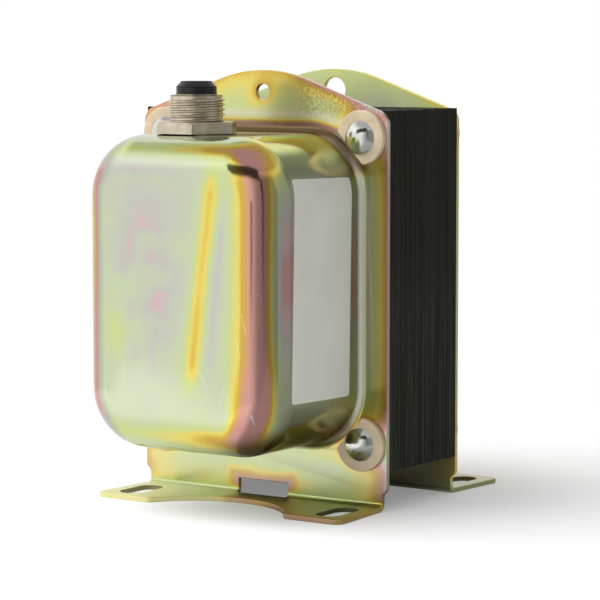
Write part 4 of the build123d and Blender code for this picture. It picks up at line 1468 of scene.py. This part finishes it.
def add_camera(settings, target):
    """Camera that sees the object as the photograph does."""
    data = bpy.data.cameras.new("camera")
    data.lens = settings.lens
    data.sensor_width = FILM_WIDTH
    camera = new_object("camera", data)
    level = math.cos(settings.pitch)
    back = Vector((level * math.cos(settings.yaw), level * math.sin(settings.yaw), math.sin(settings.pitch)))
    aim(camera, target + back * settings.distance, -back)
    return camera


class TRANSFORMER_OT_stage(Operator):
    """Sets the floor, the lamps and the camera"""

    bl_idname = "transformer.stage"
    bl_label = "Stage"

    def execute(self, context):
        settings = context.scene.transformer_stage
        scene = context.scene
        half = settings.floor / 2
        corners = [(-half, -half, 0), (half, -half, 0), (half, half, 0), (-half, half, 0)]
        mesh = new_mesh("floor", corners, [(0, 1, 2, 3)])
        mesh.materials.append(pale_floor())
        floor = new_object("floor", mesh)
        scene.world = studio_world(settings.around)
        target = Vector(settings.target)
        add_lamp("key_lamp", *KEY_LAMP, target, settings.key)
        add_lamp("front_lamp", *FILL_LAMP, target, settings.fill)
        scene.camera = add_camera(settings, target)
        scene.view_settings.view_transform = "Standard"
        return {"FINISHED"}


SETTINGS = {
    "transformer_cover": CoverSettings, "transformer_core": CoreSettings,
    "transformer_fasteners": FastenerSettings, "transformer_breaker": BreakerSettings,
    "transformer_label": LabelSettings, "transformer_stage": StageSettings}
STEPS = (
    TRANSFORMER_OT_covers, TRANSFORMER_OT_core, TRANSFORMER_OT_fasteners, TRANSFORMER_OT_breaker,
    TRANSFORMER_OT_label, TRANSFORMER_OT_bushing, TRANSFORMER_OT_inside, TRANSFORMER_OT_stage)


class TRANSFORMER_PT_sidebar(Panel):
    """Lists the pieces of the transformer in the sidebar"""

    bl_idname = "TRANSFORMER_PT_sidebar"
    bl_label = "Panel mount transformer"
    bl_space_type = "VIEW_3D"
    bl_region_type = "UI"
    bl_category = "Transformer"

    def draw(self, context):
        for name, group in SETTINGS.items():
            box = self.layout.box()
            box.label(text=group.__doc__)
            for key in group.__annotations__:
                box.prop(getattr(context.scene, name), key)
        for step in STEPS:
            self.layout.operator(step.bl_idname)


def register():
    for group in SETTINGS.values():
        bpy.utils.register_class(group)
    for name, group in SETTINGS.items():
        setattr(bpy.types.Scene, name, PointerProperty(type=group))
    for step in (*STEPS, TRANSFORMER_PT_sidebar):
        bpy.utils.register_class(step)


def unregister():
    for step in (TRANSFORMER_PT_sidebar, *reversed(STEPS)):
        bpy.utils.unregister_class(step)
    for name in SETTINGS:
        delattr(bpy.types.Scene, name)
    for group in reversed(SETTINGS.values()):
        bpy.utils.unregister_class(group)


def main():
    register()
    for step in (
            bpy.ops.transformer.covers, bpy.ops.transformer.core, bpy.ops.transformer.fasteners,
            bpy.ops.transformer.breaker, bpy.ops.transformer.label, bpy.ops.transformer.bushing,
            bpy.ops.transformer.inside, bpy.ops.transformer.stage):
        step()


if __name__ == "__main__":
    main()
